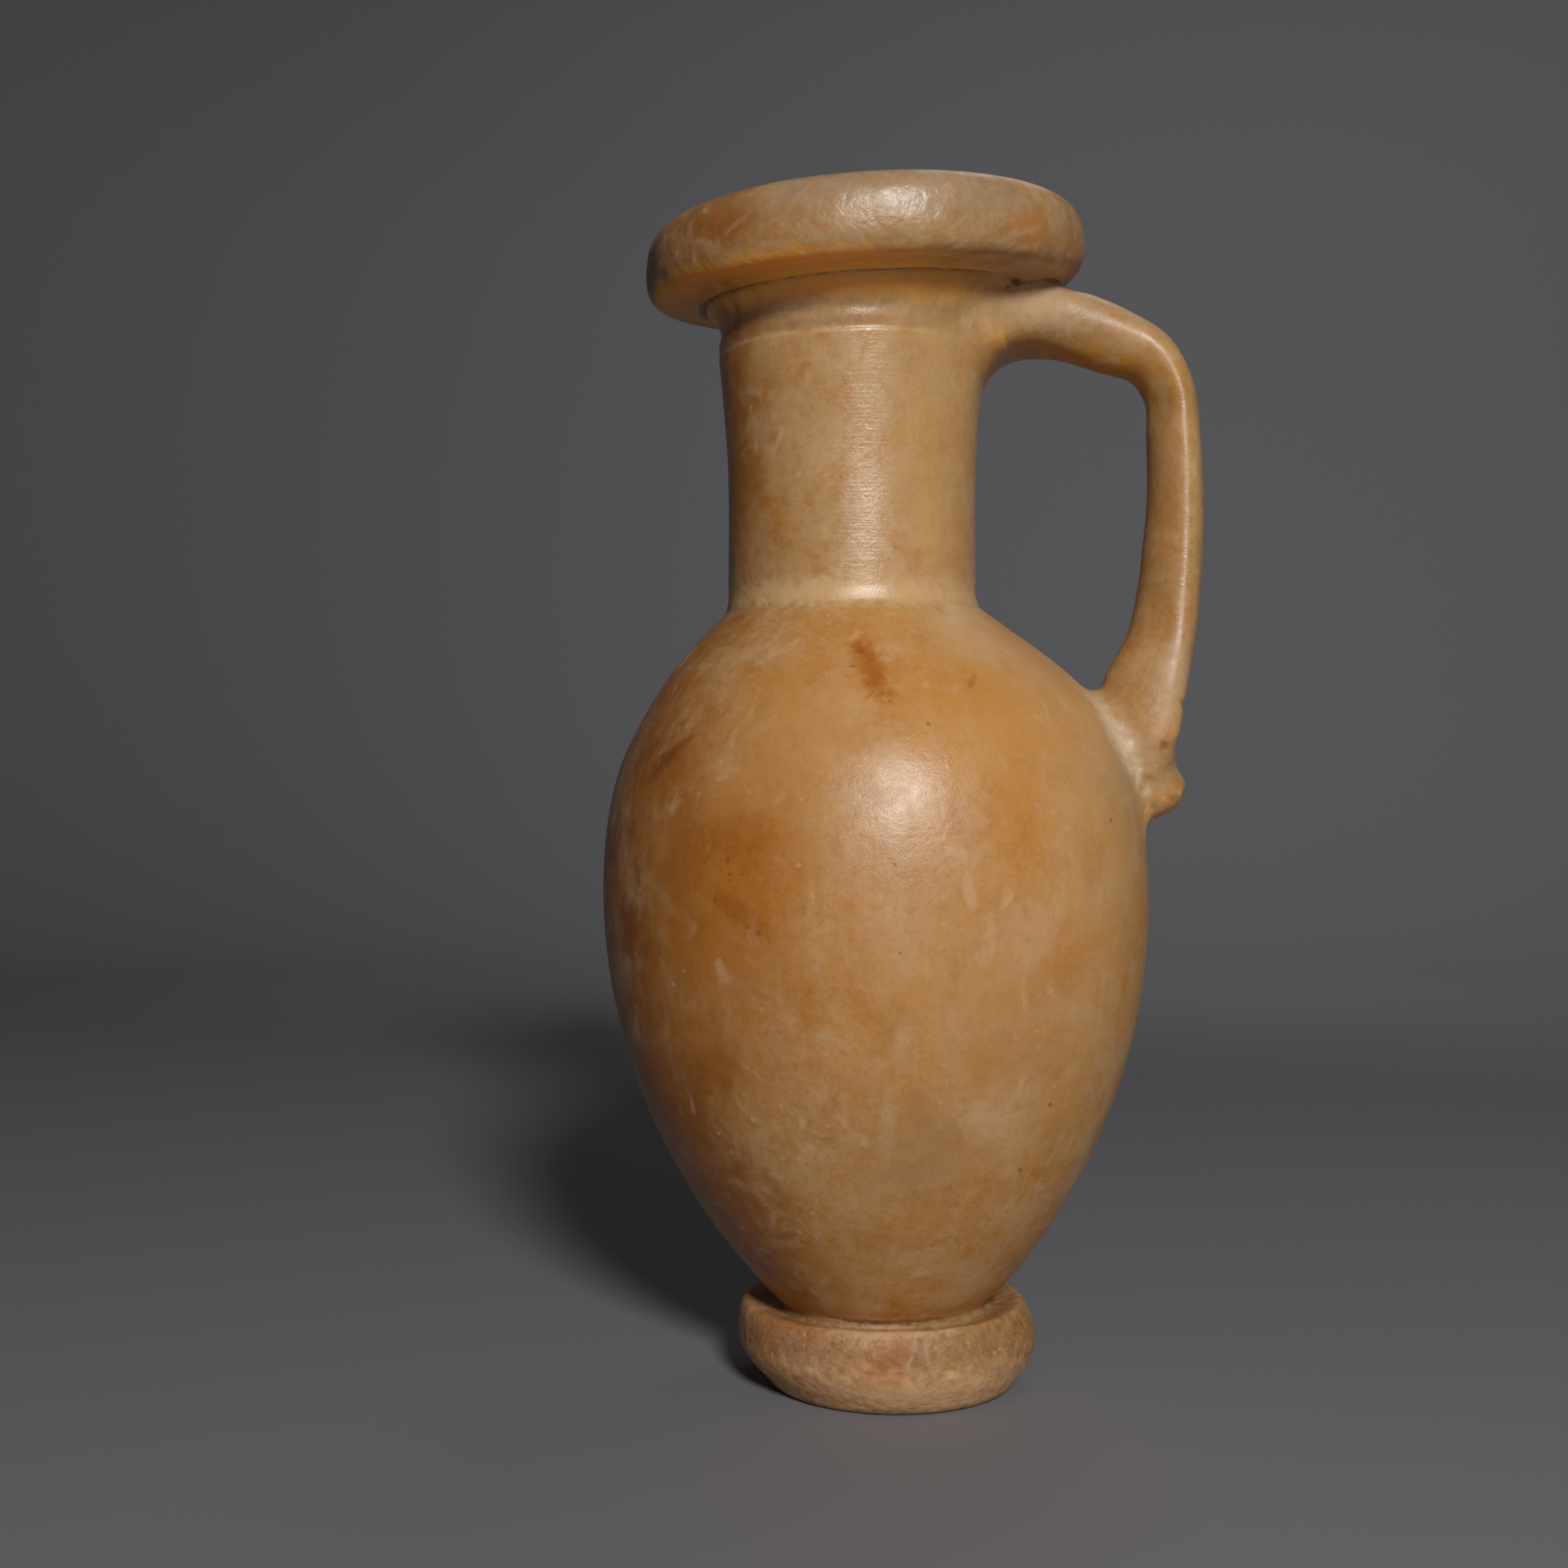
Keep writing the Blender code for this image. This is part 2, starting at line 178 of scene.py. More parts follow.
# Outline of radius and height: up the hollow, over the bead, down the outside to the foot's centre.
def vesselOutline(v):
    floor = (v["floorRadius"], v["floorHeight"])
    widest = (v["cavity"], v["cavityHeight"])
    boreEnd = (v["bore"], v["boreHeight"])
    boreTop = (v["boreTop"], v["boreTopHeight"])
    lipCentre = (v["lipRadius"], v["lipHeight"])
    beadInside = roundArc(lipCentre, (v["lipIn"], v["lipUp"]), v["lipInnerAngle"], 90)
    beadTop = roundArc(lipCentre, (v["lipOut"], v["lipUp"]), 90, 0, v["lipBlunt"])
    beadUnder = roundArc(lipCentre, (v["lipOut"], v["lipDown"]), 0, -90, v["lipUnderBlunt"])
    groove = [(v["cavetto"] + out, v["cavettoTop"] + up) for out, up in (v["grooveEnd"], v["grooveStart"])]
    cavetto = roundArc((v["cavetto"], v["collarTop"]),
                       (v["cavetto"] - v["collar"], v["cavettoTop"] - v["collarTop"]), 90, 180,
                       v["cavettoHollow"])
    band = [(v["collar"] - v["collarIn"], v["collarTop"] - v["collarBand"]),
            (v["collar"] - v["stepIn"], v["stepHeight"] + v["stepHalf"])]
    z = np.linspace(v["stepHeight"] - v["stepHalf"], v["shoulderHeight"] + v["neckFoot"], 120)
    flare = (np.maximum(z - v["neckHeight"], 0.0) / (v["stepHeight"] - v["neckHeight"])) ** 2
    neck = np.column_stack([v["neck"] + (v["neckTop"] - v["neck"]) * flare, z])
    shoulder = (v["shoulder"], v["shoulderHeight"])
    slope = (v["shoulder"] + v["shoulderSlope"] * v["shoulderPull"],
             v["shoulderHeight"] - v["shoulderPull"])
    belly = (v["belly"], v["bellyHeight"])
    upper = bezierCurve(shoulder, slope, (v["belly"], v["bellyHeight"] + v["bellyPullUp"]), belly)
    lower = bezierCurve(belly, (v["belly"], v["bellyHeight"] - v["bellyPullDown"]),
                        (v["waist"] + v["waistPull"], v["waistHeight"] + v["waistPull"]),
                        (v["waist"], v["waistHeight"]))
    fillet = [(v["waist"] + v["waistFillet"], v["waistHeight"] - v["waistDrop"])]
    rimTop = roundArc((v["footEdge"], v["footWideHeight"]),
                      (v["footWide"] - v["footEdge"], v["footHeight"] - v["footWideHeight"]), 90, 0,
                      v["footTopBlunt"])
    rimUnder = roundArc((v["footBase"], v["footWideHeight"]),
                        (v["footWide"] - v["footBase"], v["footWideHeight"]), 0, -90, v["footUnderBlunt"])
    lowPull = (v["cavity"], v["cavityHeight"] - v["cavityPullDown"])
    highPull = (v["cavity"], v["cavityHeight"] + v["cavityPullUp"])
    hollowLow = bezierCurve(floor, v["floorPull"], lowPull, widest)
    hollowHigh = bezierCurve(widest, highPull, v["borePull"], boreEnd)
    funnel = bezierCurve(boreTop, v["funnelPull"], v["mouthPull"], beadInside[0])
    floorCentre = [(0.0, v["floorHeight"] - v["floorDip"])]
    footCentre = [(0.0, 0.0)]
    return np.vstack([floorCentre, hollowLow, hollowHigh, [boreTop], funnel, beadInside, beadTop, beadUnder,
                      groove, cavetto, band, neck, upper, lower, fillet, rimTop, rimUnder, footCentre])


# Points every tenth of a millimetre, averaged by a bell, then thinned to the spacing wanted at each place.
def spacedOutline(outline, v, softening=0.3, fine=0.1):
    def walked(points):
        return np.concatenate([[0.0], np.cumsum(np.linalg.norm(np.diff(points, axis=0), axis=1))])
    length = walked(outline)
    even = np.arange(0.0, length[-1], fine)
    points = np.column_stack([np.interp(even, length, outline[:, k]) for k in (0, 1)])
    reach = int(4 * softening / fine)   # the bell is cut off at four widths
    kernel = bell(np.arange(-reach, reach + 1) * fine, softening)
    kernel /= kernel.sum()
    padded = np.pad(points, ((reach, reach), (0, 0)), "reflect", reflect_type="odd")
    soft = np.column_stack([np.convolve(padded[:, k], kernel, "valid") for k in (0, 1)])
    crowd = np.concatenate([[0.0], np.cumsum(fine / outlineSpacing(soft, v)[:-1])])
    steps = np.linspace(0.0, crowd[-1], int(crowd[-1]) + 1)
    return np.column_stack([np.interp(steps, crowd, soft[:, k]) for k in (0, 1)])


# Wanted spacing: wide in the hollow and on the body, close at the bead, groove, collar and line.
def outlineSpacing(points, v):
    r, z = points.T
    outside = np.arange(len(r)) > np.argmax(z)
    spacing = np.where(outside, v["spacingOutside"], v["spacingInside"])
    for above, upTo, within, apart in v["spacings"]:
        spacing = np.where(outside & (z > above) & (z <= upTo) & (r < within), apart, spacing)
    return np.where(~outside & (z > v["mouthFrom"]), v["spacingMouth"], spacing)


# Lean and tip: each ring shifts towards -X with height, and its +X side rises.
def leanAndTip(p, v):
    x, y, z = p[..., 0], p[..., 1], p[..., 2]
    lip = eased(z, v["stepHeight"], v["cavettoTop"])
    neck = eased(z, v["neckShiftFrom"], v["shoulderHeight"] + v["shiftEase"])
    foot = 1.0 - eased(z, v["footWideHeight"], v["footHeight"])
    base = 1.0 - eased(z, 0.0, v["footWideHeight"])
    leaning = v["lean"] * np.minimum(z, v["shoulderHeight"])
    shift = (v["footShift"] * foot + v["footBaseShift"] * base - leaning
             - v["neckShift"] * neck + v["lipShift"] * lip + v["lipWider"] * lip * np.maximum(x, 0.0))
    tip = v["neckTip"] * eased(z, v["waistHeight"], v["shoulderHeight"]) + v["lipTip"] * lip
    under = lip * (1.0 - eased(z, v["cavettoTop"] + v["shiftEase"], v["lipHeight"]))
    lift = v["lipThinBehind"] * under * y / v["lipRadius"]   # thinner behind, thicker in front
    return np.stack([x + shift, y, z + tip * x + lift], -1)


# The incised line's height round the neck: a slow wander of three sine waves about the step.
def lineHeight(angle, v):
    wander = sum(share * np.sin(waves * angle + start) for share, waves, start in v["lineWaves"])
    return v["stepHeight"] + v["lineWander"] * wander


# Noise moved from -1..1 to 0..1.
def halved(noise):
    return 0.5 + 0.5 * noise


# Carved depth along the turned surface: incised line, groove, and the tool's unevenness.
def vesselCarving(r, z, angle, outside, placed, v):
    innermost, outermost = v["lineRadii"]
    line = bell(z - lineHeight(angle, v), v["lineWidth"]) * (r > innermost) * (r < outermost) * outside
    line = line * (v["lineSteady"] + v["lineVaried"] * stoneNoise(placed, v["lineGrain"], 11))
    line = line * (1.0 - v["lineEndFade"] * eased(np.cos(angle), *v["lineEnds"]))
    heartOut, heartUp = v["grooveHeart"]
    heart = np.hypot(r - v["cavetto"] - heartOut, z - v["cavettoTop"] - heartUp)
    groove = bell(heart, v["grooveWidth"]) * outside
    groove = groove * (0.6 + 0.6 * roughNoise(placed, v["grooveGrain"], 21))
    slow = halved(stoneNoise(placed, v["slowSize"], 3))
    quick = halved(stoneNoise(placed, v["quickSize"], 4))
    uneven = (v["slowShare"] * slow + v["quickShare"] * quick) * eased(z, *v["baseFade"])
    foot = outside * (1.0 - eased(z, *v["footTopFade"])) * eased(z, *v["footBaseFade"])
    pecked = foot * halved(roughNoise(placed, v["footGrain"], 31))
    return (v["lineDepth"] * line + v["grooveDepth"] * groove + v["unevenness"] * uneven
            + v["footRoughness"] * pecked)


# Points of the vessel: outline times circle, leaned, then pushed in by the carved depth.
def vesselSurface(v):
    outline = spacedOutline(vesselOutline(v), v)
    ring = outline[1:-1]
    shape = (len(ring), v["sides"])
    r, z = (np.broadcast_to(column[:, None], shape) for column in ring.T)
    around = np.broadcast_to(np.linspace(0.0, 2 * pi, v["sides"], endpoint=False), shape)
    outside = np.broadcast_to((np.arange(len(ring)) > np.argmax(ring[:, 1]))[:, None], shape)
    turned = np.stack([r * np.cos(around), r * np.sin(around), z], -1)
    poles = np.array([[0.0, 0.0, outline[0, 1]], [0.0, 0.0, outline[-1, 1]]])
    points = np.vstack([leanAndTip(turned, v).reshape(-1, 3), leanAndTip(poles, v)])
    triangles = gridTriangles(*shape)
    if meshVolume(points, triangles) < 0:
        triangles = triangles[:, ::-1]
    normals = pointNormals(points, triangles)
    placed = points[:-2].reshape(turned.shape)
    depth = vesselCarving(r, z, around, outside, placed, v)
    depth = np.append(depth.ravel(), [0.0, 0.0])   # none at the poles
    points = points - normals * depth[:, None]
    return points, triangles


handle = dict(
    # along the middle line: x, z, half thickness in the XZ plane, half width along Y,
    # ridge (how far the edges sit towards the outer face) and bluntness (2 is oval, more is boxy)
    stations=((12.5, 216.8, 10.6, 21.0, 0.0, 2.8), (17.0, 218.2, 10.0, 19.4, 0.0, 3.0),
              (22.0, 220.9, 8.6, 17.2, 0.0, 3.6), (29.0, 221.8, 7.5, 14.0, 0.03, 3.4),
              (37.0, 220.8, 7.25, 11.0, 0.08, 2.4), (46.4, 217.7, 7.0, 9.6, 0.15, 1.95),
              (54.9, 213.8, 6.0, 9.3, 0.15, 1.9), (59.4, 206.2, 5.3, 9.2, 0.15, 1.85),
              (60.3, 196.8, 5.6, 9.2, 0.15, 1.85), (60.7, 184.8, 5.9, 9.2, 0.15, 1.85),
              (60.1, 172.8, 6.3, 9.3, 0.20, 1.85), (59.0, 162.8, 6.7, 9.6, 0.25, 1.85),
              (57.3, 153.8, 7.2, 10.4, 0.35, 1.85), (54.3, 145.3, 8.4, 11.8, 0.45, 1.9),
              (51.4, 137.3, 9.6, 13.0, 0.50, 2.0), (50.6, 129.8, 9.2, 12.4, 0.35, 2.1),
              (50.0, 123.3, 7.2, 10.4, 0.15, 2.1)),
    rings=200, sides=72, steps=40,   # steps are the points read between one station and the next
    unevenness=0.35, slowSize=16.0, slowShare=0.65, quickSize=6.0, quickShare=0.35,
)


# Catmull-Rom curve through the stations, read at even steps along its length.
def handleRows(h):
    rows = np.array(h["stations"])
    padded = np.vstack([2 * rows[0] - rows[1], rows, 2 * rows[-1] - rows[-2]])
    t = np.linspace(0.0, 1.0, h["steps"], endpoint=False)[None, :, None]
    a, b, c, d = (padded[i:len(rows) - 1 + i][:, None, :] for i in range(4))
    fine = 0.5 * (2 * b + (c - a) * t + (2 * a - 5 * b + 4 * c - d) * t ** 2
                  + (3 * b - a - 3 * c + d) * t ** 3)
    fine = np.vstack([fine.reshape(-1, rows.shape[1]), rows[-1:]])
    walked = np.concatenate([[0.0], np.cumsum(np.hypot(*np.diff(fine[:, :2], axis=0).T))])
    even = np.linspace(0.0, walked[-1], h["rings"])
    return np.column_stack([np.interp(even, walked, column) for column in fine.T])


# D section carried along the path: blunt ellipse with its sides moved out by the ridge times sine squared.
def handleSurface(h):
    rows = handleRows(h)
    tangent = np.gradient(rows[:, :2], axis=0)
    tangent /= np.linalg.norm(tangent, axis=1)[:, None]
    alongX, alongZ = tangent.T[:, :, None]
    x, z, thick, wide, ridge, bluntness = rows.T[:, :, None]
    a = np.linspace(0.0, 2 * pi, h["sides"], endpoint=False)[None, :]
    power = 2.0 / bluntness
    across = np.sign(np.cos(a)) * np.abs(np.cos(a)) ** power
    sideways = np.sign(np.sin(a)) * np.abs(np.sin(a)) ** power
    out = thick * (across + ridge * np.sin(a) ** 2)
    points = np.stack([x - alongZ * out, wide * sideways, z + alongX * out], -1)
    ends = np.array([[rows[i, 0], 0.0, rows[i, 1]] for i in (0, -1)])
    points = np.vstack([points.reshape(-1, 3), ends])
    triangles = gridTriangles(h["rings"], h["sides"])
    if meshVolume(points, triangles) < 0:
        triangles = triangles[:, ::-1]
    slow, quick = stoneNoise(points, h["slowSize"], 41), stoneNoise(points, h["quickSize"], 42)
    depth = halved(h["slowShare"] * slow + h["quickShare"] * quick)
    return points - pointNormals(points, triangles) * (h["unevenness"] * depth)[:, None], triangles


# The nub below the handle, and a smaller lobe that carries it into the body.
nub = dict(centre=(55.0, 0.0, 125.2), halfSize=(7.8, 12.0, 8.4), rings=40, sides=48, unevenness=0.05)
nubFoot = dict(centre=(51.4, 0.0, 120.3), halfSize=(5.0, 12.0, 4.8), rings=30, sides=40, unevenness=0.05)


# Ellipsoid by latitude and longitude round its own vertical axis, shrunk here and there by noise.
def nubSurface(n):
    latitude = np.linspace(-pi / 2, pi / 2, n["rings"] + 2)[1:-1, None]
    around = np.linspace(0.0, 2 * pi, n["sides"], endpoint=False)[None, :]
    unit = np.stack([np.cos(latitude) * np.cos(around), np.cos(latitude) * np.sin(around),
                     np.sin(latitude) * np.ones_like(around)], -1).reshape(-1, 3)
    unit = np.vstack([unit, [[0.0, 0.0, -1.0], [0.0, 0.0, 1.0]]])
    shrink = 1.0 - n["unevenness"] * halved(stoneNoise(unit * 6.0, 5.0, 51))
    points = np.array(n["centre"]) + unit * np.array(n["halfSize"]) * shrink[:, None]
    return points, gridTriangles(n["rings"], n["sides"])


# Boolean union of the forms, read back as arrays with the form that each face came from.
def unitedStone(forms):
    base = forms[0]
    for form in forms[1:]:
        union = base.modifiers.new(form.name, "BOOLEAN")
        union.operation = "UNION"
        union.solver = "EXACT"
        union.material_mode = "TRANSFER"
        union.object = form
    graph = bpy.context.evaluated_depsgraph_get()
    mesh = bpy.data.meshes.new_from_object(base.evaluated_get(graph), depsgraph=graph)
    bm = bmesh.new()
    bm.from_mesh(mesh)
    bmesh.ops.triangulate(bm, faces=bm.faces)
    bmesh.ops.dissolve_degenerate(bm, dist=2e-5, edges=bm.edges)
    bmesh.ops.triangulate(bm, faces=bm.faces)
    bm.to_mesh(mesh)
    bm.free()
    points = np.empty(3 * len(mesh.vertices), np.float32)
    mesh.vertices.foreach_get("co", points)
    triangles = np.empty(3 * len(mesh.polygons), np.int32)
    mesh.polygons.foreach_get("vertices", triangles)
    source = np.empty(len(mesh.polygons), np.int32)
    mesh.polygons.foreach_get("material_index", source)
    bpy.data.meshes.remove(mesh)
    for form in forms:
        bpy.data.objects.remove(form)
    return points.reshape(-1, 3).astype(float) / mm, triangles.reshape(-1, 3), source


# Unique edges of the triangles, as pairs of point numbers.
def meshEdges(triangles):
    pairs = np.concatenate([triangles[:, [0, 1]], triangles[:, [1, 2]], triangles[:, [2, 0]]])
    return np.unique(np.sort(pairs, axis=1), axis=0)


# Mean of each point's neighbours along the edges.
def neighbourMean(values, edges, count):
    total = np.zeros_like(values)
    for axis in range(values.shape[1]):
        total[:, axis] = (np.bincount(edges[:, 0], values[edges[:, 1], axis], len(values))
                          + np.bincount(edges[:, 1], values[edges[:, 0], axis], len(values)))
    return total / count[:, None]


# Distance from each point to the nearest of a few others, in blocks to save memory.
def nearestDistance(points, others):
    out = np.empty(len(points))
    for start in range(0, len(points), 4000):
        block = points[start:start + 4000, None, :] - others[None, :, :]
        out[start:start + 4000] = np.sqrt((block ** 2).sum(-1).min(1))
    return out


# How far a soft joint reaches, more at the handle's upper root, between these two heights.
joints = dict(filletReach=6.5, rootReach=8.5, rootHeights=(190.0, 205.0),
              fullWithin=0.35, passes=60, pace=0.6)


# Near the line where two forms meet, points drift to the mean of their neighbours, less with distance.
def softenedJoints(points, triangles, source, j):
    edges = meshEdges(triangles)
    count = np.bincount(edges.ravel(), minlength=len(points)).astype(float)
    low = np.full(len(points), source.max() + 1)
    high = np.full(len(points), -1)
    for corner in range(3):
        np.minimum.at(low, triangles[:, corner], source)
        np.maximum.at(high, triangles[:, corner], source)
    seam = points[low < high]
    near = nearestDistance(points, seam[::2])   # every other point of the seam is close enough
    upper = eased(points[:, 2], *j["rootHeights"])
    reach = j["filletReach"] + (j["rootReach"] - j["filletReach"]) * upper
    weight = 1.0 - eased(near / reach, j["fullWithin"], 1.0)
    for _ in range(j["passes"]):
        points = points + j["pace"] * weight[:, None] * (neighbourMean(points, edges, count) - points)
    return points, edges, count


# Damage: centre and half size in millimetres, turn in degrees about Y, depth, and raggedness.
dents = dict(
    lipEnd=((-52.6, -9.0, 230.0), (3.6, 9.0, 8.0), 12.0, 1.1, 0.5),
    lipEndLow=((-49.0, -22.0, 226.0), (5.0, 8.0, 3.0), 0.0, 0.7, 0.6),
    lipCrescent=((26.8, -34.5, 229.9), (3.4, 4.0, 0.9), -18.0, 0.45, 0.3),
    lipShallow=((22.0, -38.5, 236.0), (7.0, 6.0, 2.6), 8.0, 0.35, 0.5),
    lipLeftShallow=((-25.0, -40.0, 237.0), (8.0, 6.0, 2.4), -8.0, 0.35, 0.5),
    handlePit=((40.2, -8.8, 213.4), (1.1, 3.0, 0.9), 0.0, 0.5, 0.4),
    handleBend=((56.0, -7.0, 203.0), (3.0, 5.0, 7.0), 0.0, 0.35, 0.5),
    heelNick=((60.6, -5.0, 141.4), (3.0, 7.0, 1.2), 18.0, 0.50, 0.4),
    heelPit=((56.3, -10.0, 132.6), (1.4, 6.0, 1.1), 30.0, 0.5, 0.4),
    heelFlat=((60.5, -5.0, 134.0), (3.0, 6.0, 3.4), 0.0, 0.5, 0.5),
    footChip=((-22.0, -22.0, 2.0), (6.0, 6.0, 2.0), 10.0, 0.6, 0.6),
    footRim=((9.0, -29.0, 16.8), (7.0, 4.0, 1.2), 0.0, 0.35, 0.7),
)


# Each dent: the place turned and divided by the half size, and its depth eased away over the rim.
def dentedStone(points, triangles, dents, rim=(0.55, 1.15), grain=2.4):
    normals = pointNormals(points, triangles)
    noise = roughNoise(points, grain, 61)
    depth = np.zeros(len(points))
    for centre, halfSize, turn, deep, ragged in dents.values():
        x, y, z = (points - np.array(centre)).T
        c, s = cos(radians(turn)), sin(radians(turn))
        local = np.stack([c * x - s * z, y, s * x + c * z], -1)
        reach = np.linalg.norm(local / np.array(halfSize), axis=1) + ragged * 0.5 * noise
        depth = np.maximum(depth, deep * (1.0 - eased(reach, *rim)))
    return points - normals * depth[:, None]


# Where the paint differs, in millimetres; curvature is one over the radius of the bend.
wear = dict(
    # Concave places get painted shade, starting and full at the second pair of curvatures below; convex ones
    # are scuffed.
    scuffFrom=0.16, scuffFull=0.60, hollowShadeFrom=0.08, hollowShadeFull=0.40, spread=6,
    # The painted shade is kept off below the first heights, and near the neck's foot and the step.
    hollowShadeHeights=(160.0, 170.0), unshadedRoot=(162.0, 5.0), unshadedStep=(214.4, 1.4),   # two heights, and reach
    line=0.35, lineRadii=(24.0, 26.0),
    lipRadii=(31.5, 35.0), lipHeights=(216.0, 222.0),
    # The ledge settings place painted shade on the foot's ledge in front.
    ledgeFrom=(16.4, 17.2), ledgeUpTo=(18.3, 19.0), ledgeRadii=(25.5, 27.5), ledgeReach=11.0,
    handleSpread=10, handleKept=0.4,
)


# Curvature: along each edge twice the drop below the tangent plane over its squared length, then spread.
def edgeAndHollow(points, triangles, edges, count, w):
    normals = pointNormals(points, triangles)
    step = points[edges[:, 1]] - points[edges[:, 0]]
    length = np.maximum((step ** 2).sum(axis=1), 0.04)   # an edge under 0.2 mm counts as one of 0.2
    first = -2.0 * (step * normals[edges[:, 0]]).sum(axis=1) / length
    second = 2.0 * (step * normals[edges[:, 1]]).sum(axis=1) / length
    curve = np.bincount(edges[:, 0], first, len(points)) + np.bincount(edges[:, 1], second, len(points))
    curve = curve / count
    for _ in [None] * w["spread"]:
        curve = 0.5 * curve + 0.5 * neighbourMean(curve[:, None], edges, count)[:, 0]
    z = points[:, 2]
    shadeAllowed = eased(z, *w["hollowShadeHeights"])
    for height, reach in (w["unshadedRoot"], w["unshadedStep"]):
        shadeAllowed = shadeAllowed * (1.0 - bell(z - height, reach))
    # The second mask is painted shade in concave places, kept off the neck's foot and the step.
    return eased(curve, w["scuffFrom"], w["scuffFull"]), eased(-curve, w["hollowShadeFrom"], w["hollowShadeFull"]) * shadeAllowed


# Share of each point that belongs to the handle, spread over its neighbours for a soft border.
def handleShare(triangles, source, edges, count, w):
    share = np.zeros(len(count))
    for corner in range(3):
        np.maximum.at(share, triangles[:, corner], (source > 0).astype(float))
    for _ in [None] * w["handleSpread"]:
        around = neighbourMean(share[:, None], edges, count)[:, 0]
        share = w["handleKept"] * share + (1.0 - w["handleKept"]) * around
    return share


# The paint's masks, one value a point: worn edges, painted shade in the hollows, the incised line, the
# handle's share and the lip.
def paintMasks(points, triangles, source, edges, count, w):
    x, y, z = points.T
    worn, hollow = edgeAndHollow(points, triangles, edges, count, w)
    onHandle = handleShare(triangles, source, edges, count, w)
    axis = -vessel["lean"] * vessel["shoulderHeight"] - vessel["neckShift"]   # where the neck stands
    angle = np.arctan2(y, x - axis)
    away = np.hypot(x - axis, y)
    level = lineHeight(angle, vessel) + vessel["neckTip"] * (x - axis)
    line = bell(z - level, w["line"]) * (1.0 - onHandle) * (1.0 - eased(np.cos(angle), *vessel["lineEnds"]))
    line = line * eased(away, *w["lineRadii"])
    ledge = eased(z, *w["ledgeFrom"]) * (1.0 - eased(z, *w["ledgeUpTo"])) * (y < 0.0)
    ledge = ledge * (1.0 - eased(np.hypot(x, y), *w["ledgeRadii"])) * bell(x, w["ledgeReach"])
    hollow = np.maximum(hollow, ledge)   # painted shade also lies on the foot's ledge in front
    onLip = eased(away, *w["lipRadii"]) * eased(z, *w["lipHeights"]) * (1.0 - onHandle)
    return dict(wear=worn, hollow=hollow, line=line, onHandle=onHandle, onLip=onLip, side=x, height=z)


# The whole pitcher: four forms united, joints softened, damage cut in, and the paint masks measured.
def pitcherMesh():
    forms = [stoneObject("vesselForm", *vesselSurface(vessel)),
             stoneObject("handleForm", *handleSurface(handle)),
             stoneObject("nubForm", *nubSurface(nub)), stoneObject("nubFootForm", *nubSurface(nubFoot))]
    points, triangles, source = unitedStone(forms)
    points, edges, count = softenedJoints(points, triangles, source, joints)
    if meshVolume(points, triangles) < 0:
        triangles = triangles[:, ::-1]
    points = dentedStone(points, triangles, dents)
    print("pitcher:", len(triangles), "triangles")
    return points, triangles, paintMasks(points, triangles, source, edges, count, wear)


stone = dict(
    honey=(0.585, 0.265, 0.044), orange=(0.57, 0.242, 0.030), amber=(0.42, 0.140, 0.006),
    # The side amber below is painted shade: it darkens the pitcher's left and far side, where the light does
    # not reach.
    veil=(0.63, 0.390, 0.190), deep=(0.46, 0.175, 0.012), paintedShadeAmber=(0.21, 0.046, 0.001),
    # The first dark brown on the next line darkens the foot's grain and is also painted shade in the hollows
    # and on the foot's ledge.
    dirt=(0.22, 0.080, 0.009), scuff=(0.72, 0.50, 0.30), speck=(0.36, 0.105, 0.005),
    neckTone=(0.51, 0.325, 0.140), collarTone=(0.34, 0.215, 0.105), lipTone=(0.29, 0.165, 0.052),
    lipPale=(0.42, 0.290, 0.160), lipOrange=(0.40, 0.165, 0.020),
    # The lip's glow and the glow under the lip are painted light, standing in for light that passes through
    # the stone.
    lipPaintedGlow=(0.95, 0.440, 0.050), underLipPaintedGlow=(0.98, 0.520, 0.110),
    footTone=(0.30, 0.150, 0.048), handleTone=(0.35, 0.195, 0.050),
    roughness=0.36, neckRoughness=0.29, handleRoughness=0.29, lipRoughness=0.35,
    grainRoughness=0.10, scuffRoughness=0.14, footRoughness=0.24, handleVaried=0.12, heelRoughness=0.22,
    heelCentre=(52.0, -12.0, 137.0), heelHalfSize=(12.0, 20.0, 20.0), heelTurn=-20.0, heelSoftness=0.7,
    translucency=0.70, depth=0.0075,   # the share of light that enters, and how deep it goes in metres
    scatter=(1.0, 0.42, 0.13), refraction=1.56,
    bumpStrength=0.45, bumpDepth=0.00028, bumpBase=0.8, bumpLip=1.6, ringBump=0.30, poreBump=0.50,
    fineBump=0.45, fineBumpFoot=3.0, fineBumpLip=0.9,
)

# Heights, or places across, in millimetres between which a look begins or ends.
zones = dict(
    shoulderFrom=(112.0, 138.0), shoulderUpTo=(165.0, 150.0), neck=(157.0, 165.0), collar=(213.8, 215.6),
    # The side and far side borders, across in millimetres, bound painted shade on the pitcher's left.
    foot=(19.5, 16.5), low=(88.0, 22.0), side=(2.0, -42.0), farSidePaintedShade=(-26.0, -48.0),
    # The two glow heights bound painted light on the lip's lower front and on the collar under the lip.
    lipPaintedGlow=(229.2, 225.2), underLipPaintedGlow=(220.0, 223.5),
    polishedNeck=(158.0, 166.0), ringsUpTo=(216.0, 213.0), dullFoot=(19.0, 17.0),
    sideRagged=20.0, farSideRagged=12.0, glowRagged=3.0,   # how far noise moves these borders
)

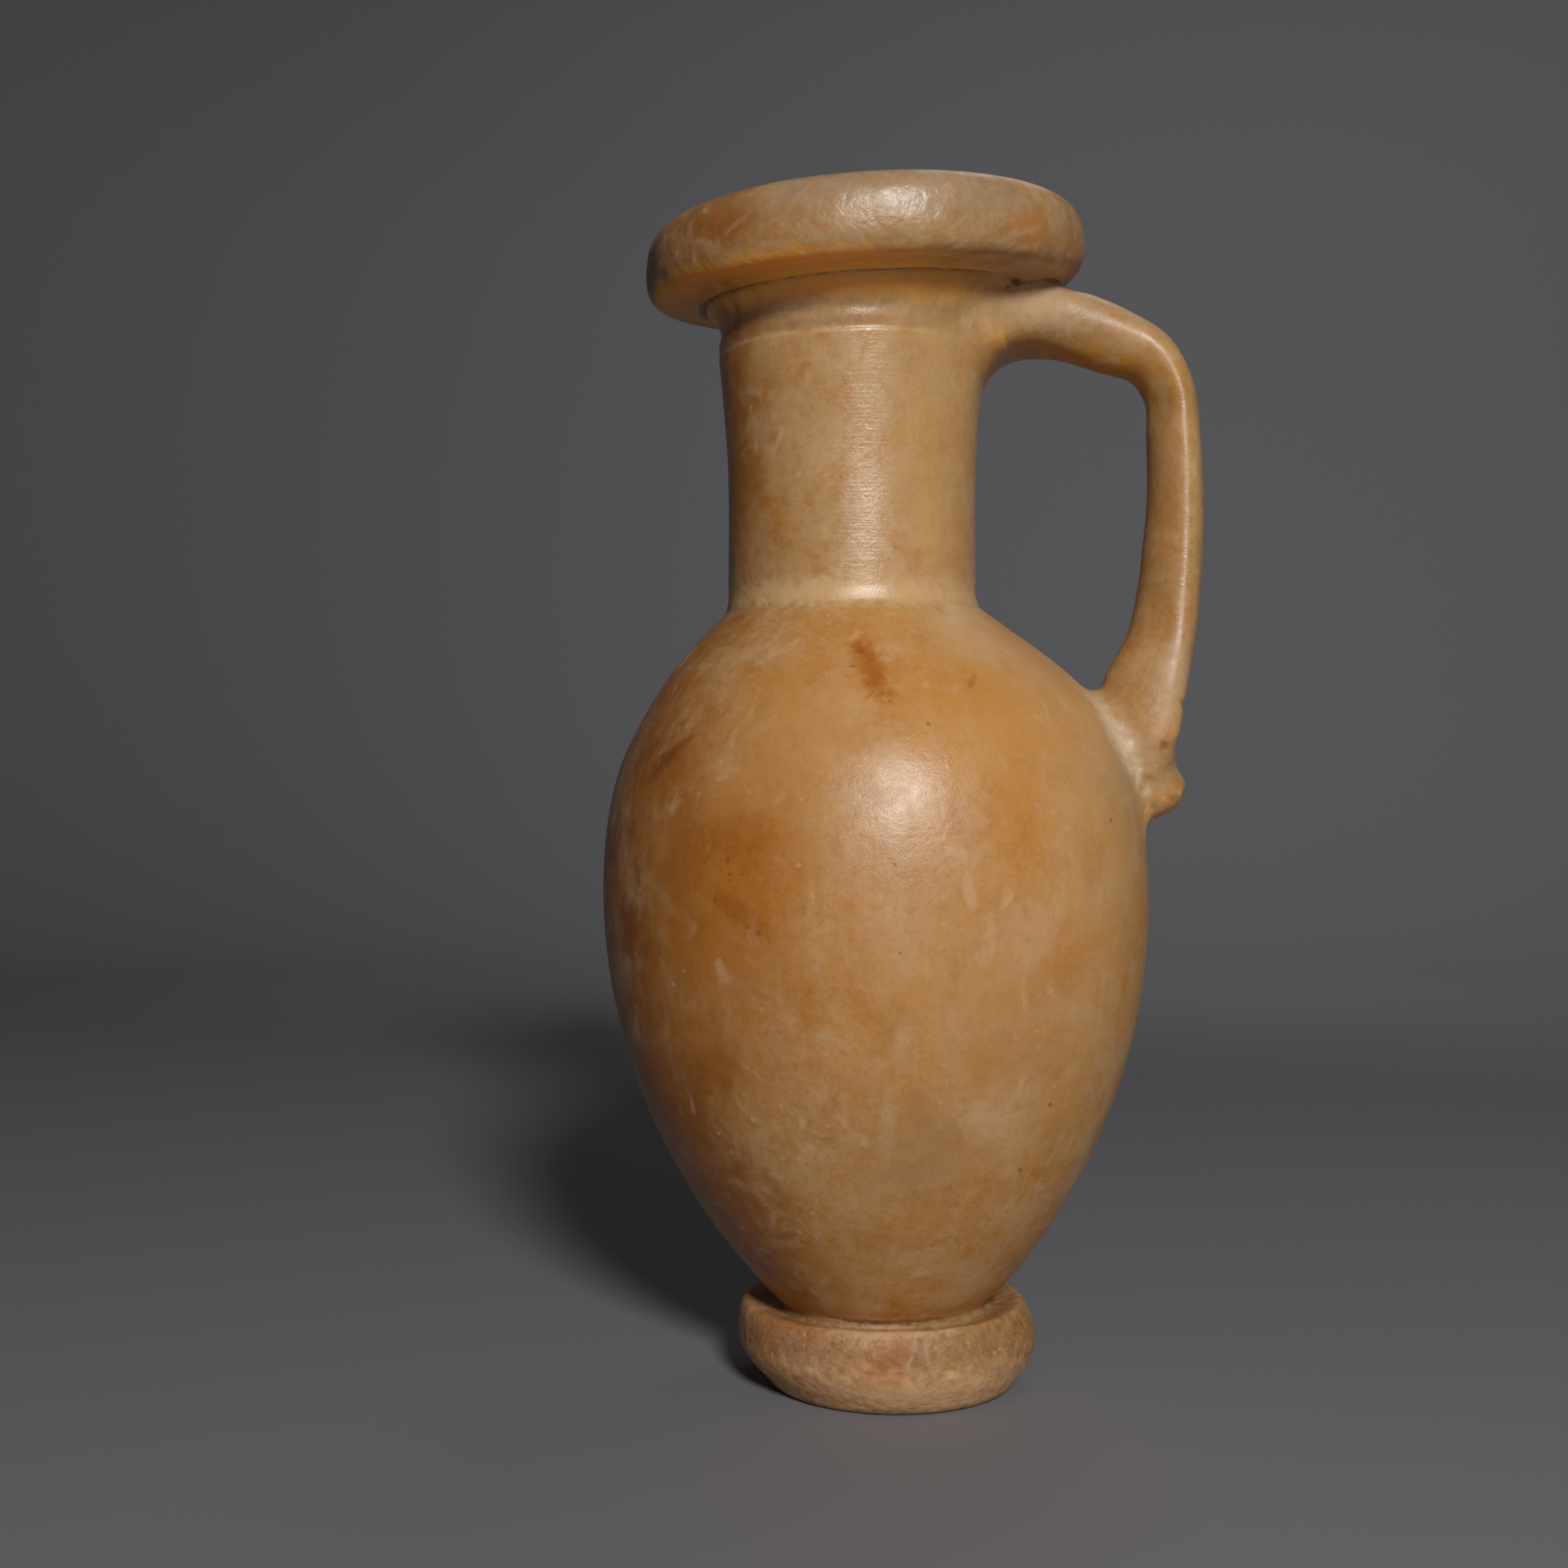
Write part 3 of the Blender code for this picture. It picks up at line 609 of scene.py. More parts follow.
# How strongly each layer of colour covers those below it.
shares = dict(
    dark=0.45, shoulder=0.30, neck=0.9, collar=0.85, lip=0.9, foot=0.9, handle=0.85,
    # The side, far side and side streak shares set painted shade on the left; the haze lost there keeps it
    # deep.
    side=0.62, farSidePaintedShade=0.85, low=0.25, mottling=0.74, haze=0.34, hazeStreak=0.14, hazeLost=0.8,
    # The lip's glow share and the one under it set painted light.
    grain=0.30, sideStreak=0.40, lipPale=0.38, lipOrange=0.65, lipPaintedGlow=0.95, underLipPaintedGlow=0.90,
    # The last share on the next line sets painted shade in the hollows and on the foot's ledge.
    footGrain=0.65, footSmall=0.42, footHaze=0.24, dabs=0.42, speck=0.8, scuff=0.50, line=0.34, dirt=0.80,
)


# One shader node: its settings by name, and each input set to a value or linked to another node's socket.
def addNode(tree, kind, inputs=None, **settings):
    made = tree.nodes.new(kind)
    for key, value in settings.items():
        setattr(made, key, value)
    for socket, value in (inputs or {}).items():
        if isinstance(value, bpy.types.NodeSocket):
            tree.links.new(value, made.inputs[socket])
        else:
            made.inputs[socket].default_value = value
    return made


# One operation on two values.
def calculate(tree, operation, first, second=0.0):
    return addNode(tree, "ShaderNodeMath", {0: first, 1: second}, operation=operation).outputs[0]


# Product of any number of values.
def times(tree, *values):
    total = values[0]
    for value in values[1:]:
        total = calculate(tree, "MULTIPLY", total, value)
    return total


# Sum of any number of values.
def plus(tree, *values):
    total = values[0]
    for value in values[1:]:
        total = calculate(tree, "ADD", total, value)
    return total


# One minus the value.
def inverse(tree, value):
    return calculate(tree, "SUBTRACT", 1.0, value)


# Stretches a value: low becomes 0 and high becomes the most, with a smooth step between.
def window(tree, value, low, high, most=1.0):
    inputs = {"Value": value, "From Min": low, "From Max": high, "To Max": most}
    return addNode(tree, "ShaderNodeMapRange", inputs, interpolation_type="SMOOTHSTEP").outputs[0]


# Cloud pattern: layered noise of a size in millimetres, from 0 to 1, or only what lies in the window kept.
def cloud(tree, place, size, layers=3.0, twist=0.0, offset=(0.0, 0.0, 0.0), stretch=(1.0, 1.0, 1.0),
          grain=0.5, kept=None):
    moved = addNode(tree, "ShaderNodeMapping", {"Vector": place, "Location": offset, "Scale": stretch})
    noise = addNode(tree, "ShaderNodeTexNoise",
                    {"Vector": moved.outputs[0], "Scale": 1.0 / size, "Detail": layers, "Distortion": twist,
                     "Roughness": grain})
    return window(tree, noise.outputs[0], *kept) if kept else noise.outputs[0]


# Blends two colours by a share; either may be a socket or three numbers.
def tint(tree, share, under, over):
    under, over = (c if isinstance(c, bpy.types.NodeSocket) else (*c, 1.0) for c in (under, over))
    return addNode(tree, "ShaderNodeMix", {0: share, 6: under, 7: over}, data_type="RGBA").outputs[2]


# The stone's clouds: size in millimetres, layers of noise, and grain, the share that each layer keeps.
patterns = dict(
    wide=dict(size=11.0, layers=4.0, twist=0.5),
    middle=dict(size=4.5, layers=4.0, twist=0.5, offset=(2.0, 9.0, 4.0)),
    fine=dict(size=1.8, layers=4.0, twist=0.4, offset=(6.0, 6.0, 1.0)),
    broad=dict(size=42.0, layers=3.0, twist=0.6, offset=(3.0, 8.0, 1.0), kept=(0.40, 0.64)),
    dark=dict(size=20.0, layers=5.0, twist=0.5, offset=(20.0, 4.0, 14.0), kept=(0.50, 0.72)),
    mottle=dict(size=15.0, layers=7.0, twist=0.4, offset=(11.0, 2.0, 5.0), grain=0.72, kept=(0.36, 0.66)),
    depths=dict(size=11.0, layers=6.0, twist=0.5, offset=(5.0, 12.0, 9.0), grain=0.66, kept=(0.46, 0.68)),
    area=dict(size=17.0, layers=2.0, twist=0.3, offset=(2.0, 6.0, 2.0), kept=(0.42, 0.60)),
    streak=dict(size=2.2, layers=3.0, twist=0.2, offset=(5.0, 5.0, 5.0), stretch=(1.0, 1.0, 0.18),
                kept=(0.4, 0.7)),
    haze=dict(size=3.2, layers=5.0, twist=0.3, offset=(1.0, 4.0, 3.0), grain=0.85, kept=(0.38, 0.62)),
    grain=dict(size=1.3, layers=4.0, twist=0.2, offset=(8.0, 3.0, 5.0), grain=0.8, kept=(0.48, 0.66)),
)
shreds = dict(size=5.0, layers=5.0, twist=0.7, offset=(4.0, 1.0, 7.0), stretch=(1.0, 1.0, 0.6),
              kept=(0.56, 0.72))
turningRings = dict(size=0.55, layers=2.0, stretch=(0.04, 0.04, 1.0))
pores = dict(size=0.5, layers=3.0, grain=0.8)

# Stains and some painted light and shade: centre and half size in millimetres, turn in degrees about Y,
# colour, strength, softness, grain.
marks = dict(
    amberWide=((-31.0, -47.0, 107.0), (15.0, 22.0, 19.0), 0.0, (0.51, 0.200, 0.022), 0.60, 0.80, "wide"),
    amberCore=((-29.5, -48.3, 107.0), (8.0, 16.0, 11.0), 14.0, (0.48, 0.175, 0.014), 0.60, 0.80, "middle"),
    amberHigh=((-30.5, -48.3, 115.2), (7.2, 16.0, 3.8), -4.0, (0.40, 0.125, 0.006), 0.75, 0.80, "fine"),
    amberFibres=((-29.0, -48.5, 107.0), (10.0, 16.0, 12.0), 12.0, (0.36, 0.110, 0.005), 0.16, 0.95, "streak"),
    amberDots=((-29.5, -48.3, 112.0), (8.0, 16.0, 8.0), 10.0, (0.27, 0.070, 0.003), 0.60, 0.60, "dots"),
    amberTail=((-29.5, -49.5, 101.0), (7.0, 14.0, 1.6), 40.0, (0.24, 0.060, 0.002), 0.85, 0.60, "dots"),
    amberTailHaze=((-29.5, -49.5, 101.0), (7.0, 14.0, 2.0), 40.0, (0.36, 0.105, 0.005), 0.55, 0.70, "fine"),
    amberRim=((-40.0, -38.0, 112.0), (4.5, 14.0, 14.0), 0.0, (0.36, 0.110, 0.006), 0.55, 0.70, "middle"),
    amberLowVeil=((-36.0, -38.0, 78.0), (9.0, 18.0, 19.0), 8.0, (0.43, 0.145, 0.012), 0.55, 0.80, "wide"),
    amberLow=((-35.0, -40.5, 70.5), (5.0, 12.0, 4.5), 0.0, (0.38, 0.120, 0.006), 0.60, 0.70, "middle"),
    # Painted shade: the lower left side is painted dark amber where the light does not reach.
    lowSidePaintedShade=((-33.0, -18.0, 48.0), (9.0, 24.0, 30.0), -26.0, (0.32, 0.095, 0.003), 0.85, 0.80, "middle"),
    paleFlank=((36.0, -34.0, 122.0), (17.0, 24.0, 38.0), 0.0, (0.66, 0.370, 0.145), 0.55, 0.90, "middle"),
    paleShoulder=((20.0, -36.0, 147.0), (28.0, 26.0, 17.0), 0.0, (0.68, 0.380, 0.150), 0.38, 0.90, "wide"),
    # Painted shade: the neck's left side is painted dark amber where the light does not reach.
    neckSidePaintedShade=((-34.0, -8.0, 190.0), (9.0, 20.0, 30.0), 0.0, (0.34, 0.110, 0.005), 0.85, 0.80, "middle"),
    brownVeil=((-43.0, -31.0, 127.0), (7.0, 14.0, 9.0), 45.0, (0.37, 0.115, 0.008), 0.55, 0.80, "middle"),
    brownStreak=((-43.2, -31.8, 130.6), (0.9, 9.0, 5.5), 50.0, (0.25, 0.068, 0.003), 0.80, 0.95, "fine"),
    brownStreakLow=((-44.8, -30.4, 128.2), (1.0, 9.0, 4.5), 46.0, (0.25, 0.070, 0.003), 0.70, 0.95, "fine"),
    brownDots=((-44.0, -31.0, 128.0), (4.5, 10.0, 6.5), 46.0, (0.26, 0.070, 0.003), 0.60, 0.60, "dots"),
    shoulderStain=((-44.0, -20.0, 145.0), (7.0, 12.0, 5.0), 40.0, (0.42, 0.130, 0.010), 0.50, 0.70, "middle"),
    orangeShoulder=((14.0, -43.0, 139.0), (13.0, 22.0, 12.0), 10.0, (0.59, 0.265, 0.036), 0.40, 0.90, "wide"),
    orangeHip=((23.0, -47.0, 117.0), (5.0, 14.0, 12.0), 0.0, (0.58, 0.235, 0.030), 0.42, 0.80, "middle"),
    orangeSide=((31.0, -45.0, 92.0), (3.5, 12.0, 6.0), -12.0, (0.54, 0.200, 0.020), 0.50, 0.70, "middle"),
    redVeil=((-4.6, -42.0, 146.5), (3.2, 12.0, 6.0), -20.0, (0.52, 0.180, 0.016), 0.70, 0.85, "fine"),
    redVein=((-4.4, -41.0, 146.4), (1.9, 12.0, 5.4), -19.0, (0.42, 0.125, 0.006), 0.85, 0.80, "fine"),
    redVeinCore=((-3.9, -42.0, 144.8), (1.1, 9.0, 3.0), -20.0, (0.34, 0.085, 0.004), 0.80, 0.95, "dots"),
    redVeinHead=((-6.6, -37.5, 151.2), (0.9, 9.0, 1.5), -40.0, (0.38, 0.100, 0.005), 0.70, 0.80, "fine"),
    redVeinDots=((-4.4, -41.0, 146.4), (3.0, 12.0, 7.0), -19.0, (0.30, 0.075, 0.003), 0.75, 0.70, "dots"),
    redFleck=((14.5, -40.0, 144.5), (0.6, 8.0, 1.4), 30.0, (0.45, 0.130, 0.008), 0.60, 0.60, "fine"),
    lipLeftStain=((-34.0, -34.5, 233.0), (9.0, 12.0, 5.4), -8.0, (0.31, 0.105, 0.010), 0.85, 0.80, "middle"),
    lipMiddleStain=((-19.5, -42.0, 233.8), (4.0, 10.0, 3.4), 0.0, (0.40, 0.165, 0.035), 0.50, 0.80, "fine"),
    lipRightStain=((26.5, -32.5, 232.5), (4.0, 10.0, 3.6), 0.0, (0.50, 0.200, 0.040), 0.60, 0.70, "fine"),
    lipMiddleCurve=((-18.0, -42.0, 236.0), (4.2, 8.0, 0.5), -50.0, (0.54, 0.380, 0.210), 0.30, 0.90, "fine"),
    lipScratchHigh=((-30.0, -37.0, 232.0), (2.6, 8.0, 0.5), -35.0, (0.56, 0.390, 0.210), 0.30, 0.90, "fine"),
    lipScratch=((-36.0, -33.0, 229.6), (3.2, 8.0, 0.6), 20.0, (0.56, 0.390, 0.210), 0.35, 0.90, "fine"),
    lipRightCurve=((25.0, -33.0, 231.2), (4.2, 8.0, 0.6), -25.0, (0.58, 0.390, 0.200), 0.35, 0.90, "fine"),
    lipHaze=((0.0, -40.0, 238.0), (26.0, 16.0, 5.0), 0.0, (0.42, 0.335, 0.235), 0.45, 0.80, "middle"),
    # Painted shade: the lip's left end, turned away from the light, is painted nearly black.
    lipEndPaintedShade=((-51.0, -8.0, 230.0), (4.0, 14.0, 8.0), 0.0, (0.10, 0.045, 0.010), 0.75, 0.40, "middle"),
    lipRedEdge=((38.0, -12.0, 231.0), (5.0, 12.0, 5.0), 0.0, (0.45, 0.155, 0.015), 0.50, 0.70, "fine"),
    rootVeil=((27.0, -13.0, 222.0), (14.0, 14.0, 4.5), 8.0, (0.46, 0.320, 0.190), 0.65, 0.60, "fine"),
    rootStain=((21.5, -15.0, 223.6), (7.0, 10.0, 2.4), 14.0, (0.50, 0.220, 0.060), 0.60, 0.70, "dots"),
    paleRoot=((29.5, -12.0, 222.8), (7.0, 10.0, 3.6), 10.0, (0.66, 0.430, 0.230), 0.62, 0.80, "fine"),
    # Painted light: the handle's underside is painted bright amber, as if lit through the stone.
    handleUnderPaintedGlow=((36.0, 0.0, 210.5), (22.0, 18.0, 5.2), 6.0, (0.62, 0.290, 0.030), 0.85, 0.60, "middle"),
    handleTopPale=((40.0, -8.0, 223.0), (13.0, 10.0, 4.5), 20.0, (0.58, 0.410, 0.250), 0.38, 0.80, "fine"),
    handlePatch=((58.0, 0.0, 182.0), (4.0, 14.0, 26.0), 0.0, (0.36, 0.180, 0.035), 0.35, 0.90, "middle"),
    footStain=((-1.0, -30.0, 11.5), (4.6, 9.0, 4.6), 8.0, (0.40, 0.130, 0.022), 0.75, 0.70, "fine"),
    footEdgeStain=((-17.0, -23.0, 5.0), (11.0, 10.0, 2.6), 22.0, (0.56, 0.220, 0.045), 0.75, 0.80, "fine"),
    footPale=((-15.0, -25.0, 9.5), (10.0, 10.0, 5.0), 15.0, (0.52, 0.290, 0.165), 0.35, 0.90, "fine"),
    footTan=((15.0, -26.0, 11.5), (10.0, 12.0, 6.0), 0.0, (0.30, 0.155, 0.045), 0.60, 0.80, "middle"),
    # Painted light: the foot's down-facing lower front is painted bright, standing in for light from the
    # floor.
    footUnderPaintedLight=((5.0, -26.0, 5.5), (28.0, 14.0, 4.2), 0.0, (0.82, 0.500, 0.250), 0.80, 0.90, "fine"),
    footGrainsRight=((18.0, -22.0, 11.0), (13.0, 14.0, 8.0), 0.0, (0.66, 0.420, 0.210), 0.50, 0.60, "dots"),
    footGrains=((-16.0, -24.0, 10.0), (13.0, 12.0, 8.0), 0.0, (0.70, 0.460, 0.290), 0.55, 0.60, "dots"),
    footTopLine=((0.0, -27.0, 17.6), (10.0, 7.0, 1.1), 0.0, (0.70, 0.460, 0.290), 0.55, 0.50, "fine"),
    paleUpper=((-18.0, -46.0, 132.0), (14.0, 20.0, 14.0), 30.0, (0.61, 0.320, 0.110), 0.40, 0.90, "middle"),
    paleCentre=((6.0, -52.0, 98.0), (14.0, 20.0, 13.0), -20.0, (0.58, 0.320, 0.125), 0.42, 0.90, "middle"),
    paleBelow=((18.0, -45.0, 74.0), (17.0, 20.0, 18.0), 20.0, (0.55, 0.305, 0.120), 0.42, 0.90, "middle"),
    paleLow=((3.0, -43.0, 56.0), (10.0, 18.0, 9.0), 0.0, (0.42, 0.250, 0.110), 0.50, 0.90, "middle"),
    paleRight=((24.5, -48.0, 97.5), (6.0, 14.0, 5.0), 20.0, (0.66, 0.390, 0.190), 0.55, 0.80, "fine"),
    paleStreak=((-2.0, -46.0, 61.0), (1.4, 12.0, 6.0), 6.0, (0.62, 0.400, 0.220), 0.45, 0.80, "fine"),
    paleDab=((16.5, -46.0, 62.0), (5.0, 12.0, 3.6), 30.0, (0.68, 0.450, 0.260), 0.60, 0.80, "fine"),
    paleKnot=((0.5, -52.0, 78.5), (1.4, 12.0, 2.6), 10.0, (0.66, 0.430, 0.240), 0.55, 0.80, "fine"),
    paleHeel=((47.0, -14.0, 130.0), (7.0, 14.0, 10.0), -30.0, (0.50, 0.340, 0.190), 0.60, 0.70, "fine"),
    paleHandle=((58.0, -8.0, 147.0), (4.0, 8.0, 8.0), 20.0, (0.62, 0.440, 0.270), 0.50, 0.80, "fine"),
    heelBrown=((53.3, -11.0, 126.2), (1.2, 7.0, 0.6), 20.0, (0.38, 0.160, 0.030), 0.70, 0.80, "fine"),
    heelPitBrown=((56.2, -11.0, 132.5), (0.7, 7.0, 1.0), 30.0, (0.44, 0.150, 0.015), 0.80, 0.60, "fine"),
    heelOrange=((54.4, -11.0, 121.0), (1.8, 7.0, 1.3), 0.0, (0.58, 0.240, 0.050), 0.50, 0.80, "fine"),
    # Painted light: the nub's underside, which faces down, is painted bright orange.
    nubUnderPaintedLight=((57.0, -4.0, 117.6), (8.0, 13.0, 3.4), -20.0, (0.95, 0.500, 0.160), 0.90, 0.50, "fine"),
    # Pale wear and a painted highlight along the heel's crease.
    heelCreaseWearAndHighlight=((46.0, -17.0, 135.0), (2.0, 14.0, 11.0), -28.0, (0.82, 0.620, 0.410), 0.90, 0.70, "fine"),
    # Pale polish wear and a painted highlight along the neck's foot.
    neckFoot=((-4.0, -20.0, 163.0), (34.0, 26.0, 2.8), 0.0, (0.74, 0.490, 0.250), 0.75, 0.60, "fine"),
    neckRight=((12.0, -24.0, 190.0), (11.0, 14.0, 30.0), 0.0, (0.62, 0.380, 0.150), 0.55, 0.90, "middle"),
)

# Small brown inclusions: centre and radius in millimetres.
specks = dict(
    shoulder=((5.6, -48.6, 136.1), 0.5), hip=((29.4, -39.5, 64.2), 0.5),
    lowRight=((23.8, -37.1, 51.4), 0.55), lowest=((21.6, -33.1, 42.7), 0.5),
    centre=((-0.9, -56.1, 110.5), 0.4), amberEnd=((-25.7, -51.4, 97.6), 0.6),
    veinRight=((7.2, -39.0, 149.5), 0.45), rootSpot=((27.2, -12.5, 225.0), 0.8),
    chainHigh=((-34.5, -46.2, 106.4), 0.4), chainSecond=((-33.9, -46.6, 103.3), 0.45),
    chainThird=((-31.6, -48.1, 101.0), 0.4), chainFourth=((-27.7, -50.3, 98.6), 0.45),
    amberSide=((-39.7, -41.5, 111.1), 0.4), middleLow=((0.0, -56.3, 94.4), 0.35),
    flank=((42.0, -33.0, 117.9), 0.4),
)

# Dots of two sizes: the cell that holds at most one, and how far a dot reaches in it, in millimetres.
smallDots = dict(cell=1.3, reach=0.50)
wideDots = dict(cell=3.0, reach=0.60)


# Dots: distance from the cell's own point plus noise, faded over the rim, stronger or fainter by chance.
def dotCells(tree, place, ragged, cell, reach, inner=0.2, raggedness=0.9, chances=(0.30, 0.85)):
    spots = addNode(tree, "ShaderNodeTexVoronoi", {"Vector": place, "Scale": 1.0 / cell})
    chance = addNode(tree, "ShaderNodeSeparateXYZ", {0: spots.outputs["Color"]}).outputs[0]
    torn = times(tree, calculate(tree, "SUBTRACT", ragged, 0.5), raggedness)
    away = plus(tree, spots.outputs["Distance"], torn)
    dot = window(tree, away, reach / cell, inner * reach / cell)
    return times(tree, dot, window(tree, chance, *chances))


# Marks: how many half sizes their gradient spans, and how far noise tears their rims, in half sizes.
rims = dict(span=4.0, raggedness=2.2)


# One value times a factor, plus another.
def scaledPlus(tree, value, factor, added):
    inputs = {0: value, 1: factor, 2: added}
    return addNode(tree, "ShaderNodeMath", inputs, operation="MULTIPLY_ADD").outputs[0]


# Torn rims, made once for each noise: the span plus the noise less its middle, times the raggedness.
def tornRims(tree, noise, r):
    added = r["span"] - 0.5 * r["raggedness"]
    torn = {grain: scaledPlus(tree, noise[grain], r["raggedness"], added)
            for grain in ("wide", "middle", "fine", "streak")}
    return dict(torn, dots=torn["middle"])


# Mark: the place turned and divided by the half size, its length plus the torn rim's noise, faded to nothing.
def markMask(tree, place, torn, centre, halfSize, turn=0.0, softness=0.5, strength=1.0):
    wide = [rims["span"] * size for size in halfSize]
    turned = (0.0, radians(turn), 0.0)
    local = addNode(tree, "ShaderNodeMapping",
                    {"Vector": place, "Location": centre, "Scale": wide, "Rotation": turned},
                    vector_type="TEXTURE")
    sphere = addNode(tree, "ShaderNodeTexGradient", {"Vector": local.outputs[0]}, gradient_type="SPHERICAL")
    reach = scaledPlus(tree, sphere.outputs["Fac"], -rims["span"], torn)
    return window(tree, reach, 1.0 + softness, 1.0 - softness, strength)


# Colour of the stone: each layer's mask times its share blends its colour over those below, from the base
# tones by height through painted shade on the left, clouds, painted glow at and under the lip, stains and
# some painted light and shade, pale dabs and inclusions to scuffed edges and painted shade in the hollows.
def stoneColour(tree, place, s, noise, masks):
    z, across, onLip, onHandle = (masks[name] for name in ("height", "side", "onLip", "onHandle"))

    def border(value, ragged, size, zone):
        return window(tree, plus(tree, value, times(tree, noise[ragged], zones[size])), *zones[zone])

    def over(colour, paint, share, *mask):
        return tint(tree, times(tree, *mask, shares[share]), colour, s[paint])

    colour = tint(tree, noise["broad"], s["honey"], s["orange"])
    colour = over(colour, "amber", "dark", noise["dark"])
    shoulder = window(tree, z, *zones["shoulderFrom"]), window(tree, z, *zones["shoulderUpTo"])
    colour = over(colour, "orange", "shoulder", *shoulder)
    colour = over(colour, "neckTone", "neck", window(tree, z, *zones["neck"]))
    colour = over(colour, "collarTone", "collar", window(tree, z, *zones["collar"]))
    colour = over(colour, "lipTone", "lip", onLip)
    colour = over(colour, "footTone", "foot", window(tree, z, *zones["foot"]))
    colour = over(colour, "handleTone", "handle", onHandle)
    # Painted shade: the left side turns darker amber, and the far side darker still, where the light does not
    # reach.
    side = border(across, "wide", "sideRagged", "side")
    colour = over(colour, "amber", "side", side)
    farSidePaintedShade = border(across, "wide", "farSideRagged", "farSidePaintedShade")
    colour = over(colour, "paintedShadeAmber", "farSidePaintedShade", farSidePaintedShade)
    colour = over(colour, "amber", "low", window(tree, z, *zones["low"]))
    colour = over(colour, "veil", "mottling", noise["mottle"])
    colour = over(colour, "deep", "mottling", noise["depths"])
    haze = plus(tree, times(tree, noise["haze"], shares["haze"]),
                times(tree, noise["streak"], shares["hazeStreak"]))
    # The haze thins on the far side so that its painted shade stays deep.
    haze = times(tree, haze, inverse(tree, times(tree, farSidePaintedShade, shares["hazeLost"])))
    colour = tint(tree, haze, colour, s["veil"])
    colour = over(colour, "amber", "grain", noise["grain"])
    # Streaks of the painted shade's dark amber across the left side.
    colour = over(colour, "paintedShadeAmber", "sideStreak", noise["streak"], side)
    colour = over(colour, "lipPale", "lipPale", noise["mottle"], onLip)
    colour = over(colour, "lipOrange", "lipOrange", noise["depths"], onLip)
    # Painted light: the lip's lower front glows amber, as if lit through the stone.
    glow = border(z, "middle", "glowRagged", "lipPaintedGlow")
    colour = over(colour, "lipPaintedGlow", "lipPaintedGlow", onLip, glow)
    # Painted light: the collar and cavetto under the lip glow amber, though the lip shades them.
    beneath = border(z, "middle", "glowRagged", "underLipPaintedGlow")
    colour = over(colour, "underLipPaintedGlow", "underLipPaintedGlow", beneath, inverse(tree, plus(tree, onLip, onHandle)))
    onFoot = window(tree, z, *zones["foot"])
    colour = over(colour, "dirt", "footGrain", noise["grain"], onFoot)
    colour = over(colour, "dirt", "footSmall", noise["small"], onFoot)
    colour = over(colour, "veil", "footHaze", noise["haze"], onFoot)
    for centre, halfSize, turn, paint, strength, softness, grain in marks.values():
        mask = markMask(tree, place, noise["torn"][grain], centre, halfSize, turn, softness, strength)
        mask = times(tree, mask, noise["dots"]) if grain == "dots" else mask
        colour = tint(tree, mask, colour, paint)
    colour = over(colour, "scuff", "dabs", noise["dabs"])
    for centre, radius in specks.values():
        mask = markMask(tree, place, noise["torn"]["fine"], centre, (radius,) * 3, strength=shares["speck"])
        colour = tint(tree, mask, colour, s["speck"])
    colour = over(colour, "scuff", "scuff", masks["scuffed"])
    colour = over(colour, "scuff", "line", masks["line"])
    # Painted shade: darker in the hollows and on the foot's ledge in front.
    return over(colour, "dirt", "dirt", masks["dirty"])


# Roughness: a base, more on grain, scuffs, foot and heel, less where neck and handle are polished by use.
def stonePolish(tree, place, s, noise, masks, onNeck):
    onHandle, onLip, z = masks["onHandle"], masks["onLip"], masks["height"]
    smoother = calculate(tree, "MAXIMUM", times(tree, onNeck, s["roughness"] - s["neckRoughness"]),
                         times(tree, onHandle, s["roughness"] - s["handleRoughness"]))
    base = s["roughness"] - 0.5 * s["grainRoughness"]   # the grain averages a half
    dull = plus(tree, times(tree, noise["small"], s["grainRoughness"]),
                times(tree, masks["scuffed"], s["scuffRoughness"]), base,
                times(tree, onLip, s["lipRoughness"] - s["neckRoughness"]),
                times(tree, onHandle, window(tree, noise["wide"], 0.4, 0.6), s["handleVaried"]),
                times(tree, window(tree, z, *zones["dullFoot"]), s["footRoughness"]),
                markMask(tree, place, noise["torn"]["middle"], s["heelCentre"], s["heelHalfSize"],
                         s["heelTurn"], s["heelSoftness"], s["heelRoughness"]))
    return calculate(tree, "SUBTRACT", dull, smoother)


# Bump: wide noise, more on the lip, plus the turner's fine rings on the neck, fine noise and pores.
def stoneRelief(tree, place, s, noise, masks, onNeck):
    onLip, z = masks["onLip"], masks["height"]
    rings = cloud(tree, place, **turningRings)
    rings = times(tree, rings, onNeck, window(tree, z, *zones["ringsUpTo"]), s["ringBump"])
    coarser = times(tree, window(tree, z, *zones["foot"]), s["fineBumpFoot"])
    coarser = plus(tree, coarser, times(tree, onLip, s["fineBumpLip"]), s["fineBump"])
    rough = times(tree, noise["fine"], coarser)
    wavy = times(tree, noise["middle"], plus(tree, times(tree, onLip, s["bumpLip"]), s["bumpBase"]))
    return plus(tree, wavy, rings, rough, times(tree, cloud(tree, place, **pores), s["poreBump"]))


